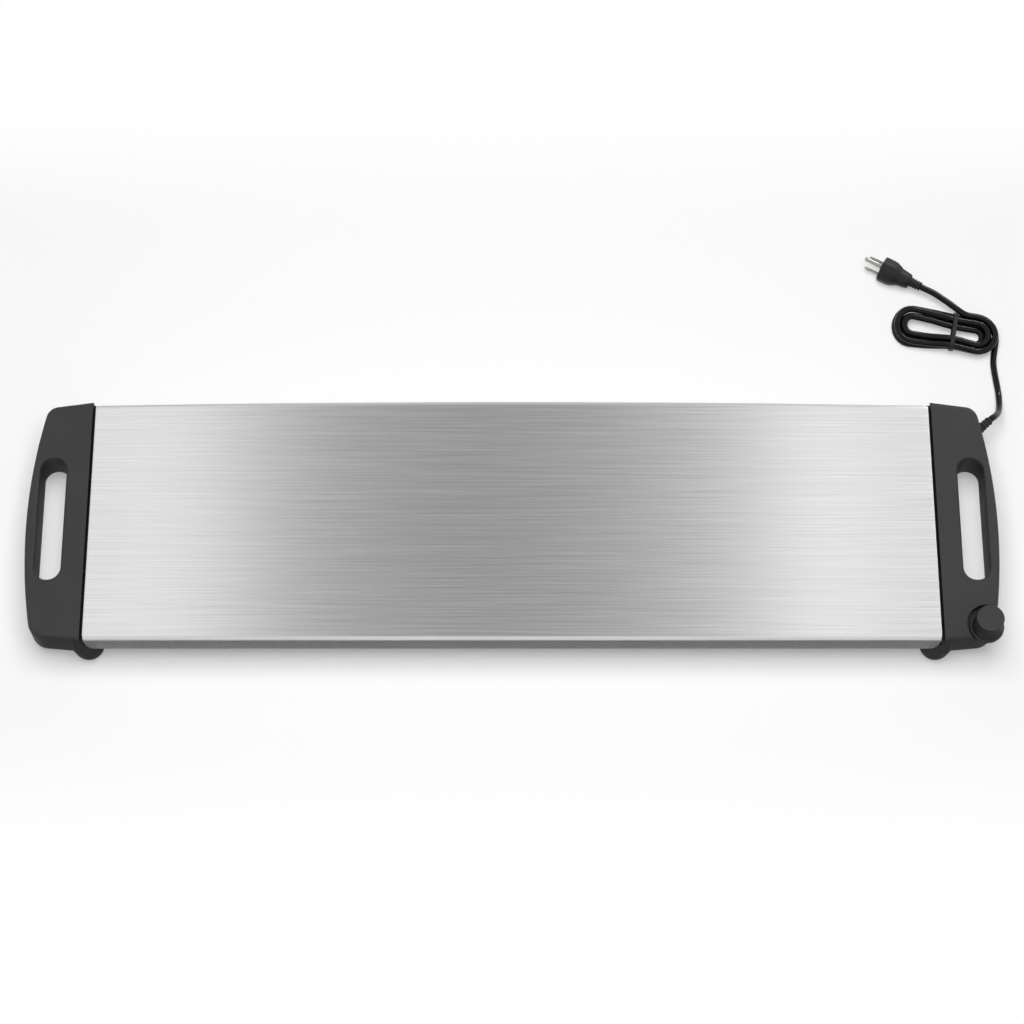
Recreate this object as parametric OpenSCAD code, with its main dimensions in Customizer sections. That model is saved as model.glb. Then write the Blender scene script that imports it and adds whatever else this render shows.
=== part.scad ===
// Electric food warming tray: a long stainless steel hot plate between two moulded end handles,
// with a thermostat knob on the right handle and a mains cord wound into a tied hank.
// Millimetres. +X runs to the knob end, +Y to the rear, +Z up; z = 0 is the table.

/* [Hot plate] */
// Length of the steel plate between the handles
plate_l = 868; // [700:1:1000]
// Depth of the plate from front to rear, at its ends
plate_w = 260; // [230:1:320]
// How far the rear edge bows out at mid length
rear_bow = 4.5; // [1:0.5:8]
// Height of the serving surface above the table
plate_z = 58; // [54:0.5:64]
// Depth of the steel casing, plate and skirt together
casing_h = 27; // [26:0.5:32]
// Thickness of the steel sheet
sheet_t = 1; // [0.6:0.1:1.4]
// Radius of the folded front and rear edges
edge_r = 5; // [3:0.5:7]
// Width of the flange folded in along the foot of each skirt
hem_w = 10; // [8:0.5:14]

/* [Base plate] */
// Thickness of the base plate
base_t = 0.8; // [0.6:0.1:1.2]
// How far the base plate stops short of the skirts
base_inset = 1.5; // [0.5:0.5:3]
// Length of one vent slot
vent_l = 30; // [16:1:40]
// Width of one vent slot
vent_w = 5; // [3:0.5:8]
// Vent slots in one row
vent_count = 7; // [3:1:9]
// Spacing of the vent slots
vent_pitch = 60; // [50:1:70]
// Width of a pressed stiffening bead
bead_w = 14; // [10:1:20]
// Height of a pressed stiffening bead
bead_h = 2.5; // [1.5:0.1:3]

/* [Heater] */
// Thickness of the aluminium heat spreader
spreader_t = 1.5; // [1:0.1:2.5]
// Margin between the heat spreader and the skirts
spreader_margin = 16; // [12:1:30]
// Diameter of the sheathed heating element
element_d = 6.5; // [5:0.1:7.5]
// Spacing of the element's long runs
element_pitch = 50; // [40:1:55]
// Length of the element's straight runs
element_run = 700; // [500:10:760]
// Width of a clamp strip
clamp_w = 14; // [10:1:20]
// Thickness of a clamp strip
clamp_t = 1; // [0.8:0.1:1.4]
// Clamp strips across the element
clamp_count = 4; // [2:1:6]
// Thickness of the insulation board
board_t = 9; // [6:0.5:10]
// Diameter of the thermal cut-off
cutoff_d = 16; // [12:0.5:20]
// Height of the thermal cut-off
cutoff_h = 9; // [6:0.5:10]

/* [Handles] */
// How far each handle reaches out past the plate
handle_reach = 64; // [60:0.5:76]
// Height of the handles above the plate
handle_proud = 2; // [0.5:0.5:4]
// Thickness of a handle where it meets the plate
handle_t = 38; // [36:0.5:42]
// Rise of the handle's underside towards its outer end
handle_rise = 2.5; // [0:0.5:4]
// Radius of the bowed outer side
bow_r = 594; // [450:1:900]
// How far the bow's widest point lies forward of the middle
bow_shift = 8.7; // [0:0.1:12]
// How far the handle stands out behind the plate
rear_lap = 3; // [1.5:0.1:5]
// How far the handle stands out in front of the plate
front_lap = 0.6; // [0.3:0.1:2]
// Slope of the handle's rear side
rear_slope = 8; // [2:0.5:12]
// Slope of the handle's front side
front_slope = 4.5; // [2:0.5:8]
// Radius of the rear outer corner, seen from above
rear_corner_r = 14; // [10:0.5:20]
// Radius of the front outer corner, seen from above
front_corner_r = 18; // [12:0.5:22]
// Radius of the moulded top edges
handle_fillet = 5; // [3:0.5:7]
// Radius of the moulded lower edges
lower_fillet = 2; // [1:0.5:3]
// Wall of the moulding
handle_wall = 3; // [2:0.1:3.5]
// Joint gap between the plate's ends and the handles
end_gap = 0.4; // [0.2:0.1:1]
// Thickness of the handle's underside cover
cover_t = 2.5; // [1.5:0.1:3]

/* [Hand slots] */
// Length of the hand slot
slot_l = 133; // [110:1:145]
// Width of the hand slot
slot_w = 27; // [22:0.5:28]
// Distance from the plate's end to the middle of the slot
slot_reach = 39; // [38:0.5:42]
// How far the slot lies behind the middle of the handle
slot_shift = 1.5; // [0:0.5:4]
// Radius of the slot's rounded rim
slot_rim = 3; // [1.5:0.5:4]

/* [Legs and feet] */
// Diameter of a leg
leg_d = 32; // [28:0.5:36]
// Distance of a foot's centre in from the front or rear of the plate
foot_inset = 11; // [10:0.5:16]
// Distance of a foot's centre in from the plate's end
foot_under = 1.3; // [0:0.1:4]
// Height of the rubber foot
foot_h = 8; // [6:0.5:10]
// Diameter of the foot where it stands on the table
foot_d = 25; // [20:0.5:28]
// Width of the web that runs from a leg up the handle's corner
web_w = 12; // [8:0.5:16]

/* [Knob] */
// Diameter of the knob at its foot
knob_d = 31; // [26:0.5:34]
// Diameter of the knob at its top
knob_top_d = 28; // [24:0.5:31]
// Height of the knob
knob_h = 23.5; // [18:0.5:28]
// Distance from the plate's end to the knob's axis
knob_reach = 46; // [43:0.5:50]
// Distance from the plate's front edge back to the knob's axis
knob_back = 16.5; // [15:0.5:22]
// Depth of the round well below the handle's top
well_depth = 6; // [4:0.5:8]
// Gap between the bezel and the well's side
well_gap = 3.5; // [2:0.5:5]
// Diameter of the bezel
bezel_d = 35; // [32:0.5:40]
// Thickness of the bezel
bezel_t = 4; // [3:0.5:6]
// How far the boss under the bezel lies inside the bezel's edge
boss_inset = 2; // [1.5:0.5:4]
// Height of the boss under the bezel
boss_h = 17; // [14:0.5:18]
// Diameter of the thermostat's spindle
spindle_d = 6; // [5:0.1:7]
// Grip ribs round the knob
knob_ribs = 48; // [24:2:60]
// Depth of a grip rib
rib_depth = 0.5; // [0.3:0.1:0.9]

/* [Thermostat and wiring] */
// Length of the thermostat's stack
stat_l = 28; // [24:1:32]
// Width of the thermostat's stack
stat_w = 16; // [12:1:17]
// Height of the thermostat's stack
stat_h = 10; // [7:0.5:10]
// Diameter of the thermostat's threaded bush
bush_d = 9.5; // [8.5:0.1:11]
// Height of the hexagon nut
nut_h = 3; // [2:0.1:3.5]
// Length of the terminal block
block_l = 27; // [24:1:30]
// Width of the terminal block
block_w = 15; // [12:0.5:16]
// Height of the terminal block
block_h = 14; // [10:0.5:16]
// Diameter of an inner wire
wire_d = 3; // [2:0.1:3.2]

/* [Screws] */
// Diameter of the screws
screw_d = 4; // [3:0.1:4.5]
// Diameter of a screw's pan head
head_d = 7.6; // [6:0.1:8]
// Height of a screw's pan head
head_h = 2.4; // [1.8:0.1:2.8]
// Length of a screw under its head
screw_l = 9; // [7:0.5:11]

/* [Cord and plug] */
// Diameter of the mains cord
cord_d = 6.8; // [6.6:0.1:7.2]
// Length of the ribbed strain relief outside the handle
relief_l = 20; // [18:1:24]
// Width of the plug's body
plug_w = 26; // [25:0.5:28]
// Height of the plug's body
plug_t = 23; // [22:0.5:24]
// Length of the plug's body
plug_l = 34; // [32:0.5:36]
// Length of the plug's ribbed strain relief
plug_relief_l = 13; // [11:0.5:14]
// Width of the band that ties the hank
tie_w = 4.5; // [3:0.5:6]

/* [Hidden] */

$fn = 48;
eps = 0.01;         // smallest overlap that fuses two forms
over = 1;           // how far a cutter runs past the face it opens
fit = 0.25;         // clearance between pieces that seat in one another
run_fit = 0.05;     // radial clearance of the turning spindle

// Finishes
steel = [0.78, 0.79, 0.80];
galvanised = [0.66, 0.68, 0.70];
aluminium = [0.80, 0.81, 0.82];
element_grey = [0.42, 0.40, 0.38];
wool = [0.86, 0.82, 0.70];
moulded_black = [0.26, 0.26, 0.27];
rubber_black = [0.10, 0.10, 0.10];
cord_black = [0.08, 0.08, 0.08];
brass = [0.78, 0.66, 0.36];
zinc = [0.70, 0.70, 0.72];
ceramic = [0.90, 0.88, 0.82];

// Heights
casing_z = plate_z - casing_h;
handle_top = plate_z + handle_proud;
handle_foot = handle_top - handle_t;
under_plate = plate_z - sheet_t;
spreader_z = under_plate - spreader_t;
element_z = spreader_z - element_d / 2;
board_z = casing_z + bead_h;
well_z = handle_top - well_depth;
bezel_z = well_z - bezel_t;
knob_z = well_z + 0.5;
cover_z = handle_foot + handle_rise + 0.5;

// Plan
half_l = plate_l / 2;
half_w = plate_w / 2;
inner_x = half_l + end_gap;
outer_x = half_l + handle_reach;
foot_x = half_l - foot_under;
foot_y = half_w - foot_inset;
slot_x = half_l + slot_reach;
slot_run = slot_l - slot_w;
knob_x = half_l + knob_reach;
knob_y = -half_w + knob_back;
well_r = bezel_d / 2 + well_gap;

// A point on a circle, and an arc of them
function spot(c, r, a) = [c[0] + r * cos(a), c[1] + r * sin(a)];
function arc(c, r, a0, a1, n) = [for (i = [0:n]) spot(c, r, a0 + (a1 - a0) * i / n)];
function ramp(u) = let (t = min(max(u, 0), 1)) t * t * (3 - 2 * t);

// A closed solid through rings of points, each counterclockwise seen from its far end;
// the ends of a folded sheet are closed by a strip between its outer and inner faces
module loft(rings, sheet = false) {
    n = len(rings[0]);
    m = len(rings);
    top = (m - 1) * n;
    polyhedron(
        points = [for (ring = rings) each ring],
        faces = concat(
            sheet ? [for (i = [0:n / 2 - 2]) [i, i + 1, n - 2 - i, n - 1 - i]] : [[for (i = [0:n - 1]) i]],
            sheet ? [for (i = [0:n / 2 - 2]) [top + n - 1 - i, top + n - 2 - i, top + i + 1, top + i]]
                : [[for (i = [n - 1:-1:0]) top + i]],
            [for (k = [0:m - 2], i = [0:n - 1]) [k * n + i, (k + 1) * n + i, (k + 1) * n + (i + 1) % n]],
            [for (k = [0:m - 2], i = [0:n - 1]) [k * n + i, (k + 1) * n + (i + 1) % n, k * n + (i + 1) % n]]),
        convexity = 6);
}

// ---------- Steel casing ----------

// Cross-section of the folded plate, for a rear edge that stands out by bow
function plate_section(x, bow) = let (
        rear = half_w + bow,
        c_f = [-half_w + edge_r, plate_z - edge_r],
        c_r = [rear - edge_r, plate_z - edge_r],
        steps = 6,
        outline = concat(
            [[-half_w + hem_w, casing_z], [-half_w, casing_z]],
            arc(c_f, edge_r, 180, 90, steps),
            arc(c_r, edge_r, 90, 0, steps),
            [[rear, casing_z], [half_w - hem_w, casing_z], [half_w - hem_w, casing_z + sheet_t],
             [rear - sheet_t, casing_z + sheet_t]],
            arc(c_r, edge_r - sheet_t, 0, 90, steps),
            arc(c_f, edge_r - sheet_t, 90, 180, steps),
            [[-half_w + sheet_t, casing_z + sheet_t], [-half_w + hem_w, casing_z + sheet_t]]))
    [for (p = outline) [x, p[0], p[1]]];

// How far the rear edge stands out at x
function bow_at(x) = rear_bow * (1 - pow(x / half_l, 2));

// Hot plate: one sheet folded down at front and rear, its rear edge gently bowed
module top_plate() {
    stations = 12;
    color(steel)
    difference() {
        loft([for (i = [0:stations])
            let (x = half_l - i * plate_l / stations) plate_section(x, bow_at(x))], true);
        for (p = base_screw_spots())
            translate([p[0], p[1], casing_z - over])
                cylinder(d = screw_d + 2 * run_fit, h = sheet_t + 2 * over);
    }
}

// A pressed bead along Y: radius r, cut off level with the sheet
module bead(r, l) {
    translate([0, 0, base_t + bead_h - bead_r])
    rotate([90, 0, 0])
    translate([0, 0, -l / 2])
        cylinder(r = r, h = l);
}
bead_r = (bead_w * bead_w / 4 + bead_h * bead_h) / (2 * bead_h);

// Base plate: closes the casing from below, with vent slots and two pressed beads
module base_plate() {
    w = plate_w - 2 * base_inset;
    l = plate_l - 2 * base_inset;
    row_y = w / 5;
    bead_l = w * 2 / 3;
    color(galvanised)
    translate([0, 0, casing_z - base_t])
    difference() {
        union() {
            translate([-l / 2, -w / 2, 0])
                cube([l, w, base_t]);
            for (sx = [-1, 1])
                translate([sx * l * 0.3, 0, 0])
                intersection() {
                    bead(bead_r, bead_l);
                    translate([-bead_w, -w / 2, eps])
                        cube([2 * bead_w, w, 2 * bead_h]);
                }
        }
        for (sx = [-1, 1])
            translate([sx * l * 0.3, 0, 0])
                bead(bead_r - base_t, bead_l - 2 * base_t);
        for (sy = [-1, 1], i = [0:vent_count - 1])
            translate([(i - (vent_count - 1) / 2) * vent_pitch, sy * row_y, -over])
                round_slot(vent_l, vent_w, base_t + 2 * over);
        for (p = base_screw_spots())
            translate([p[0], p[1], -over])
                cylinder(d = screw_d + fit, h = base_t + 2 * over);
    }
}

// A slot cutter with round ends along X, centred, standing on z = 0
module round_slot(l, w, h) {
    for (sx = [-1, 1])
        translate([sx * (l - w) / 2, 0, 0])
            cylinder(d = w, h = h);
    translate([-(l - w) / 2, -w / 2, 0])
        cube([l - w, w, h]);
}

function base_screw_spots() = [for (sx = [-1, -0.34, 0.34, 1], sy = [-1, 1])
    [sx * (half_l - 3 * hem_w), sy * (half_w - base_inset - hem_w / 2)]];

// End bracket: closes one end of the casing and carries that end's handle
module end_bracket(side) {
    t = 1.2;
    flange = 12;
    w = plate_w - 2 * sheet_t - 2 * fit;
    h = casing_h - 2 * sheet_t - 2 * fit;
    z0 = casing_z + sheet_t + fit;
    lip_w = w - 2 * hem_w;
    color(galvanised)
    mirror([side < 0 ? 1 : 0, 0, 0])
    difference() {
        union() {
            translate([half_l - t, -w / 2, z0 + edge_r])
                cube([t, w, h - 2 * edge_r]);
            translate([half_l - t, -w / 2 + edge_r, z0])
                cube([t, w - 2 * edge_r, h]);
            translate([half_l - flange, -lip_w / 2, z0])
                cube([flange, lip_w, t]);
        }
        for (y = handle_screw_rows())
            translate([half_l - t - over, y, screw_row_z()])
            rotate([0, 90, 0])
                cylinder(d = screw_d + fit, h = t + 2 * over);
        translate([half_l - t - over, lead_hole_y(), screw_row_z()])
        rotate([0, 90, 0])
            cylinder(d = lead_hole_d(), h = t + 2 * over);
    }
}

function handle_screw_rows() = [for (k = [-1, -0.3, 0.3, 1]) k * (half_w - foot_inset - leg_d * 0.75)];
function screw_row_z() = casing_z + casing_h / 2;
function lead_hole_y() = -(half_w - foot_inset - leg_d * 0.75) * 0.62;
function lead_hole_d() = 3 * wire_d + 3;

// ---------- Heater ----------

module heat_spreader() {
    l = plate_l - 4 * spreader_margin;
    w = plate_w - 2 * spreader_margin;
    color(aluminium)
    difference() {
        translate([-l / 2, -w / 2, spreader_z])
            cube([l, w, spreader_t]);
        for (sx = [-1, 1], sy = [-1, 1])
            translate([sx * l / 2, sy * w / 2, spreader_z - over])
            rotate([0, 0, 45])
            translate([-spreader_margin / 2, -spreader_margin / 2, 0])
                cube([spreader_margin, spreader_margin, spreader_t + 2 * over]);
    }
}

element_rows = 4;
function element_y(i) = (i - (element_rows - 1) / 2) * element_pitch;

// Sheathed element: long runs joined by half-round bends, both ends at the knob end
module heating_element() {
    half_run = element_run / 2;
    tail = 24;
    color(element_grey)
    translate([0, 0, element_z]) {
        for (i = [0:element_rows - 1])
            translate([-half_run, element_y(i), 0])
            rotate([0, 90, 0])
                cylinder(d = element_d, h = element_run + (i == 0 || i == element_rows - 1 ? tail : 0));
        for (i = [0:element_rows - 2])
            translate([(i % 2 == 0 ? -1 : 1) * half_run, (element_y(i) + element_y(i + 1)) / 2, 0])
            rotate([0, 0, i % 2 == 0 ? 90 : -90])
            rotate_extrude(angle = 180)
            translate([element_pitch / 2, 0])
                circle(d = element_d);
    }
}

// One clamp strip seen along X: flats against the spreader, saddles over the element
module clamp_profile() {
    half = element_y(element_rows - 1) + 14;
    r = element_d / 2;
    difference() {
        union() {
            translate([-half, spreader_z - clamp_t])
                square([2 * half, clamp_t]);
            for (i = [0:element_rows - 1])
                translate([element_y(i) - r - clamp_t, element_z - r - clamp_t])
                    square([element_d + 2 * clamp_t, element_d + clamp_t]);
        }
        for (i = [0:element_rows - 1]) {
            translate([element_y(i), element_z])
                circle(r = r + fit / 4);
            translate([element_y(i) - r - fit / 4, element_z])
                square([element_d + fit / 2, r + over]);
        }
    }
}

module element_clamps() {
    step = element_run / clamp_count;
    color(zinc)
    for (i = [0:clamp_count - 1])
        translate([(i - (clamp_count - 1) / 2) * step - clamp_w / 2, 0, 0])
        rotate([90, 0, 90])
        linear_extrude(clamp_w)
            clamp_profile();
}

// Insulation board: mineral fibre under the element, notched where the leads come out
module insulation_board() {
    l = plate_l - 5 * spreader_margin;
    w = plate_w - 2.5 * spreader_margin;
    notch = 40;
    color(wool)
    difference() {
        translate([-l / 2, -w / 2, board_z])
            cube([l, w, board_t]);
        translate([l / 2 - notch, lead_hole_y() - notch / 2, board_z - over])
            cube([notch + over, notch, board_t + 2 * over]);
    }
}

cutoff_x = half_l - 3 * spreader_margin;
cutoff_y = lead_hole_y();

// Thermal cut-off: a bimetal disc housing with two flat tabs, clipped to the spreader
module thermal_cutoff() {
    tab_w = 5;
    tab_t = 0.8;
    color(ceramic)
    translate([cutoff_x, cutoff_y, spreader_z - cutoff_h])
    union() {
        cylinder(d = cutoff_d, h = cutoff_h - 1.5);
        cylinder(d = cutoff_d * 0.8, h = cutoff_h);
        for (s = [-1, 1])
            translate([s > 0 ? 0 : -cutoff_d / 2 - 6, -tab_w / 2, 1])
                cube([cutoff_d / 2 + 6, tab_w, tab_t]);
    }
}

// ---------- Handles ----------

// Tangent centre of a corner of radius r between the bow and a side whose normal stands at angle a
function corner_turn(a, r, point) = let (
        n = [cos(a), sin(a)],
        reach = bow_r - r,
        gap = n * point - r - n * bow_c)
    a - sign(a) * acos(gap / reach);
bow_c = [outer_x - bow_r, -bow_shift];
rear_a = 90 - rear_slope;
front_a = -(90 - front_slope);
rear_point = [inner_x, half_w + rear_lap];
front_point = [inner_x, -half_w - front_lap];
rear_turn = corner_turn(rear_a, rear_corner_r, rear_point);
front_turn = corner_turn(front_a, front_corner_r, front_point);
rear_c = spot(bow_c, bow_r - rear_corner_r, rear_turn);
front_c = spot(bow_c, bow_r - front_corner_r, front_turn);

// Plan outline of the right handle, drawn in by k on its three free sides and by inner on the fourth
function handle_outline(k, inner = 0) = concat(
    [[inner_x + inner, front_point[1] + k / cos(front_slope) + inner * tan(front_slope)]],
    arc(front_c, front_corner_r - k, front_a, front_turn, 7),
    [for (p = arc(bow_c, bow_r - k, front_turn, rear_turn, 14)) p],
    arc(rear_c, rear_corner_r - k, rear_turn, rear_a, 6),
    [[inner_x + inner, rear_point[1] - k / cos(rear_slope) - inner * tan(rear_slope)]]);

// Outline without its doubled tangent points
function tidy(points) = [for (i = [0:len(points) - 1])
    if (i == 0 || norm(points[i] - points[i - 1]) > 0.001) points[i]];

function underside(x) = handle_foot + handle_rise * (x - inner_x) / (outer_x - inner_x);

// Outer form of a handle: the outline stacked up, rounded in at the foot and at the top
module handle_body() {
    steps = 5;
    low = [for (i = [0:2]) let (a = 45 * i) [lower_fillet * (1 - sin(a)), lower_fillet * (1 - cos(a))]];
    high = [for (i = [0:steps]) let (a = 90 * i / steps)
        [handle_fillet * (1 - cos(a)), handle_top - handle_fillet * (1 - sin(a))]];
    loft(concat(
        [for (s = low) [for (p = tidy(handle_outline(s[0]))) [p[0], p[1], underside(p[0]) + s[1]]]],
        [for (s = high) [for (p = tidy(handle_outline(s[0]))) [p[0], p[1], s[1]]]]));
}

// A leg with the web that runs from it up the handle's corner; front is -1, rear is 1
module leg(end) {
    web_r = web_w / 2;
    face = end < 0 ? half_w + front_lap : half_w + rear_lap;
    reach = foot_y + leg_d / 2;
    hull() {
        translate([foot_x, end * foot_y, foot_h])
            cylinder(d1 = leg_d - 3, d2 = leg_d, h = 4, $fn = 32);
        translate([foot_x, end * foot_y, foot_h + 4])
            cylinder(d = leg_d, h = 7, $fn = 32);
        translate([foot_x + web_r, end * (reach - web_r - 3), casing_z])
            cylinder(r = web_r + 3, h = 2, $fn = 32);
        translate([inner_x + web_r, end * (face - web_r), handle_top - 2 * handle_fillet])
            cylinder(r = web_r, h = handle_fillet * 0.6, $fn = 32);
    }
}

// The space that the casing takes, with the joint gap all round
module casing_space() {
    translate([-over, -half_w - fit, casing_z - base_t - fit])
        cube([inner_x + over, plate_w + 2 * fit, casing_h + base_t + fit + 2 * handle_proud + over]);
}

// The hand slot with its rounded rim, and the same shape grown by a wall
module hand_slot(grow = 0, rim = slot_rim, top = handle_top + over, z0 = 0) {
    r = slot_w / 2 + grow;
    profile = concat(
        [[0, z0], [r, z0]],
        rim > 0 ? arc([r + rim, handle_top - rim], rim, 180, 90, 6) : [],
        [[r + rim, top], [0, top]]);
    translate([slot_x, slot_shift, 0]) {
        for (s = [-1, 1])
            translate([0, s * slot_run / 2, 0])
            rotate([0, 0, s > 0 ? 0 : 180])
            rotate_extrude(angle = 180)
                polygon(profile);
        rotate([90, 0, 0])
        translate([0, 0, -slot_run / 2])
        linear_extrude(slot_run) {
            polygon(profile);
            mirror([1, 0, 0])
                polygon(profile);
        }
    }
}

boss_d = screw_d + 5;
boss_x = inner_x + handle_wall + boss_d / 2 + 0.5;
function cover_screw_spots() = [for (k = [-0.66, 0, 0.7]) [boss_x, k * half_w]];

// The boss that carries the bezel at the handle's front corner, and the hollow inside it
module knob_boss() {
    r = bezel_d / 2 - boss_inset;
    chamfer = 2;
    translate([knob_x, knob_y, bezel_z - boss_h]) {
        cylinder(r1 = r - chamfer, r2 = r, h = chamfer);
        translate([0, 0, chamfer])
            cylinder(r = r, h = boss_h - chamfer);
    }
}
module knob_boss_hollow() {
    translate([knob_x, knob_y, bezel_z - boss_h + handle_wall - 1])
        cylinder(r = bezel_d / 2 - boss_inset - handle_wall, h = boss_h - 2 * handle_wall + 1);
}

// The hollow of a handle, open below, clear of slot wall, legs and screw bosses
module handle_hollow(right) {
    difference() {
        translate([0, 0, handle_foot - over])
        linear_extrude(handle_top - handle_wall - handle_foot + over)
            polygon(tidy(handle_outline(handle_wall, handle_wall)));
        hand_slot(handle_wall, 0);
        for (s = [-1, 1])
            translate([foot_x, s * foot_y, 0])
                cylinder(d = leg_d, h = handle_top);
        for (p = cover_screw_spots())
            translate([p[0], p[1], cover_z + cover_t])
                cylinder(d = boss_d, h = handle_top);
        for (y = handle_screw_rows())
            translate([inner_x, y, screw_row_z()])
            rotate([0, 90, 0])
                cylinder(d = boss_d, h = handle_wall + screw_l);
        if (right)
            translate([knob_x, knob_y, bezel_z - handle_wall])
                cylinder(r = well_r + handle_wall, h = handle_top);
    }
}

module handle_screw_bores() {
    for (y = handle_screw_rows())
        translate([inner_x - over, y, screw_row_z()])
        rotate([0, 90, 0])
            cylinder(d = screw_d + 2 * run_fit, h = over + handle_wall + screw_l);
    for (p = cover_screw_spots())
        translate([p[0], p[1], cover_z])
            cylinder(d = screw_d + 2 * run_fit, h = cover_t + screw_l + 1);
    for (s = [-1, 1])
        translate([foot_x, s * foot_y, foot_h - over])
            cylinder(d = screw_d + 2 * run_fit, h = over + screw_l);
}

// Moulded handle, drawn for the right end
module handle_shell(right) {
    difference() {
        union() {
            handle_body();
            for (end = [-1, 1])
                leg(end);
            if (right)
                knob_boss();
        }
        casing_space();
        handle_hollow(right);
        if (right)
            knob_boss_hollow();
        hand_slot();
        handle_screw_bores();
        for (s = [-1, 1])
            translate([foot_x, s * foot_y, foot_h - over])
                cylinder(d = spigot_d + 2 * run_fit, h = over + spigot_h + run_fit);
        if (right) {
            translate([knob_x, knob_y, well_z])
                cylinder(r = well_r, h = well_depth + over);
            translate([knob_x, knob_y, bezel_z])
                cylinder(d = bezel_d + 2 * fit, h = bezel_t + over);
            translate([knob_x, knob_y, bezel_z - handle_wall - over])
                cylinder(d = bush_d + 2 * fit, h = handle_wall + 2 * over);
            translate([inner_x - over, lead_hole_y(), screw_row_z()])
            rotate([0, 90, 0])
                cylinder(d = lead_hole_d(), h = handle_wall + 2 * over);
            at_cord_exit() {
                translate([0, 0, -relief_in - over])
                    cylinder(d = relief_neck_d + 2 * run_fit, h = relief_in + over + 12);
                translate([0, 0, -relief_in - 4])
                    cylinder(d = relief_neck_d + 2 + 2 * fit, h = 4 + relief_flange + fit);
            }
        }
    }
}

module handle_left() {
    color(moulded_black)
    mirror([1, 0, 0])
        handle_shell(false);
}

module handle_right() {
    color(moulded_black)
        handle_shell(true);
}

// Underside cover of one handle, with a hole for the hand slot and three screws
module handle_cover(side) {
    color(moulded_black)
    mirror([side < 0 ? 1 : 0, 0, 0])
    difference() {
        translate([0, 0, cover_z])
        linear_extrude(cover_t)
            polygon(tidy(handle_outline(handle_wall + fit, handle_wall + fit)));
        hand_slot(handle_wall + fit, 0);
        for (s = [-1, 1])
            translate([foot_x, s * foot_y, 0])
                cylinder(d = leg_d + 2 * fit, h = handle_top);
        for (p = cover_screw_spots())
            translate([p[0], p[1], 0])
                cylinder(d = screw_d + fit, h = handle_top);
    }
}

// ---------- Feet ----------

spigot_d = 12;
spigot_h = 3;

// Rubber foot: a domed pad with a spigot that seats in the leg and a pocket for its screw
module foot(sx, sy) {
    r = foot_d / 2;
    top_r = (leg_d - 3) / 2;
    crown = 2;
    color(rubber_black)
    translate([sx * foot_x, sy * foot_y, 0])
    rotate_extrude()
    polygon(concat(
        [[head_d / 2 + fit, 0]],
        arc([r - crown, crown], crown, -90, -30, 4),
        [[top_r, foot_h - 1.5], [top_r, foot_h], [spigot_d / 2, foot_h], [spigot_d / 2, foot_h + spigot_h],
         [screw_d / 2 + fit, foot_h + spigot_h], [screw_d / 2 + fit, foot_pocket],
         [head_d / 2 + fit, foot_pocket]]));
}

foot_pocket = head_h + 1.6;

// ---------- Screws ----------

// A pan-head screw whose head sits under z = 0 and whose shank points up
module screw() {
    rotate_extrude()
    polygon(concat(
        [[0, -head_h]],
        arc([head_d / 2 - head_h / 2, -head_h / 2], head_h / 2, -90, 0, 4),
        [[head_d / 2, 0], [screw_d / 2, 0], [screw_d / 2, screw_l - 1.5], [screw_d / 5, screw_l],
         [0, screw_l]]));
}

module handle_screws() {
    color(zinc)
    for (sx = [-1, 1], y = handle_screw_rows())
        translate([sx * (half_l - 1.2), y, screw_row_z()])
        rotate([0, sx * 90, 0])
            screw();
}

module cover_screws() {
    color(zinc)
    for (sx = [-1, 1], p = cover_screw_spots())
        translate([sx * p[0], p[1], cover_z])
            screw();
}

module base_screws() {
    short = 5;
    color(zinc)
    for (p = base_screw_spots())
        translate([p[0], p[1], casing_z - base_t])
        intersection() {
            screw();
            translate([0, 0, -head_h - over])
                cylinder(d = 2 * head_d, h = head_h + over + short);
        }
}

module foot_screws() {
    color(zinc)
    for (sx = [-1, 1], sy = [-1, 1])
        translate([sx * foot_x, sy * foot_y, foot_pocket])
            screw();
}

// ---------- Knob and thermostat ----------

bush_z = bezel_z - handle_wall;
stat_z = bush_z - 1.5 - stat_h;
nut_z = well_z;
spindle_top = knob_z + knob_h - 6;
flat_cut = spindle_d / 4;
clip_t = 0.7;

// Thermostat: a stack of ceramic rings and contact blades on a bracket, with a threaded bush
module thermostat_body() {
    plate_t = 1.5;
    blade_t = 0.6;
    inboard = stat_l - stat_w / 2;
    color(ceramic)
    translate([knob_x, knob_y, 0])
    difference() {
        union() {
            translate([0, 0, stat_z])
                cylinder(d = stat_w * 0.56, h = stat_h);
            translate([-inboard, -stat_w / 2, stat_z + stat_h])
                cube([stat_l - stat_w / 2 + bush_d / 2, stat_w, plate_t]);
            for (z = [1.5, stat_h * 0.5, stat_h - 2])
                translate([-inboard, -stat_w * 0.28, stat_z + z])
                    cube([inboard, stat_w * 0.56, blade_t]);
            translate([-inboard + 2, -stat_w * 0.35, stat_z])
                cube([7, stat_w * 0.7, stat_h]);
            translate([0, 0, bush_z - plate_t])
                cylinder(d = bush_d, h = nut_z + nut_h + 0.6 - bush_z + plate_t);
        }
        translate([0, 0, stat_z + 3])
            cylinder(d = spindle_d + 2 * run_fit, h = handle_top);
    }
}

module thermostat_nut() {
    flats = bush_d + 4.5;
    color(zinc)
    translate([knob_x, knob_y, nut_z])
    difference() {
        cylinder(d = flats / cos(30), h = nut_h, $fn = 6);
        translate([0, 0, -over])
            cylinder(d = bush_d + 2 * run_fit, h = nut_h + 2 * over);
    }
}

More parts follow.
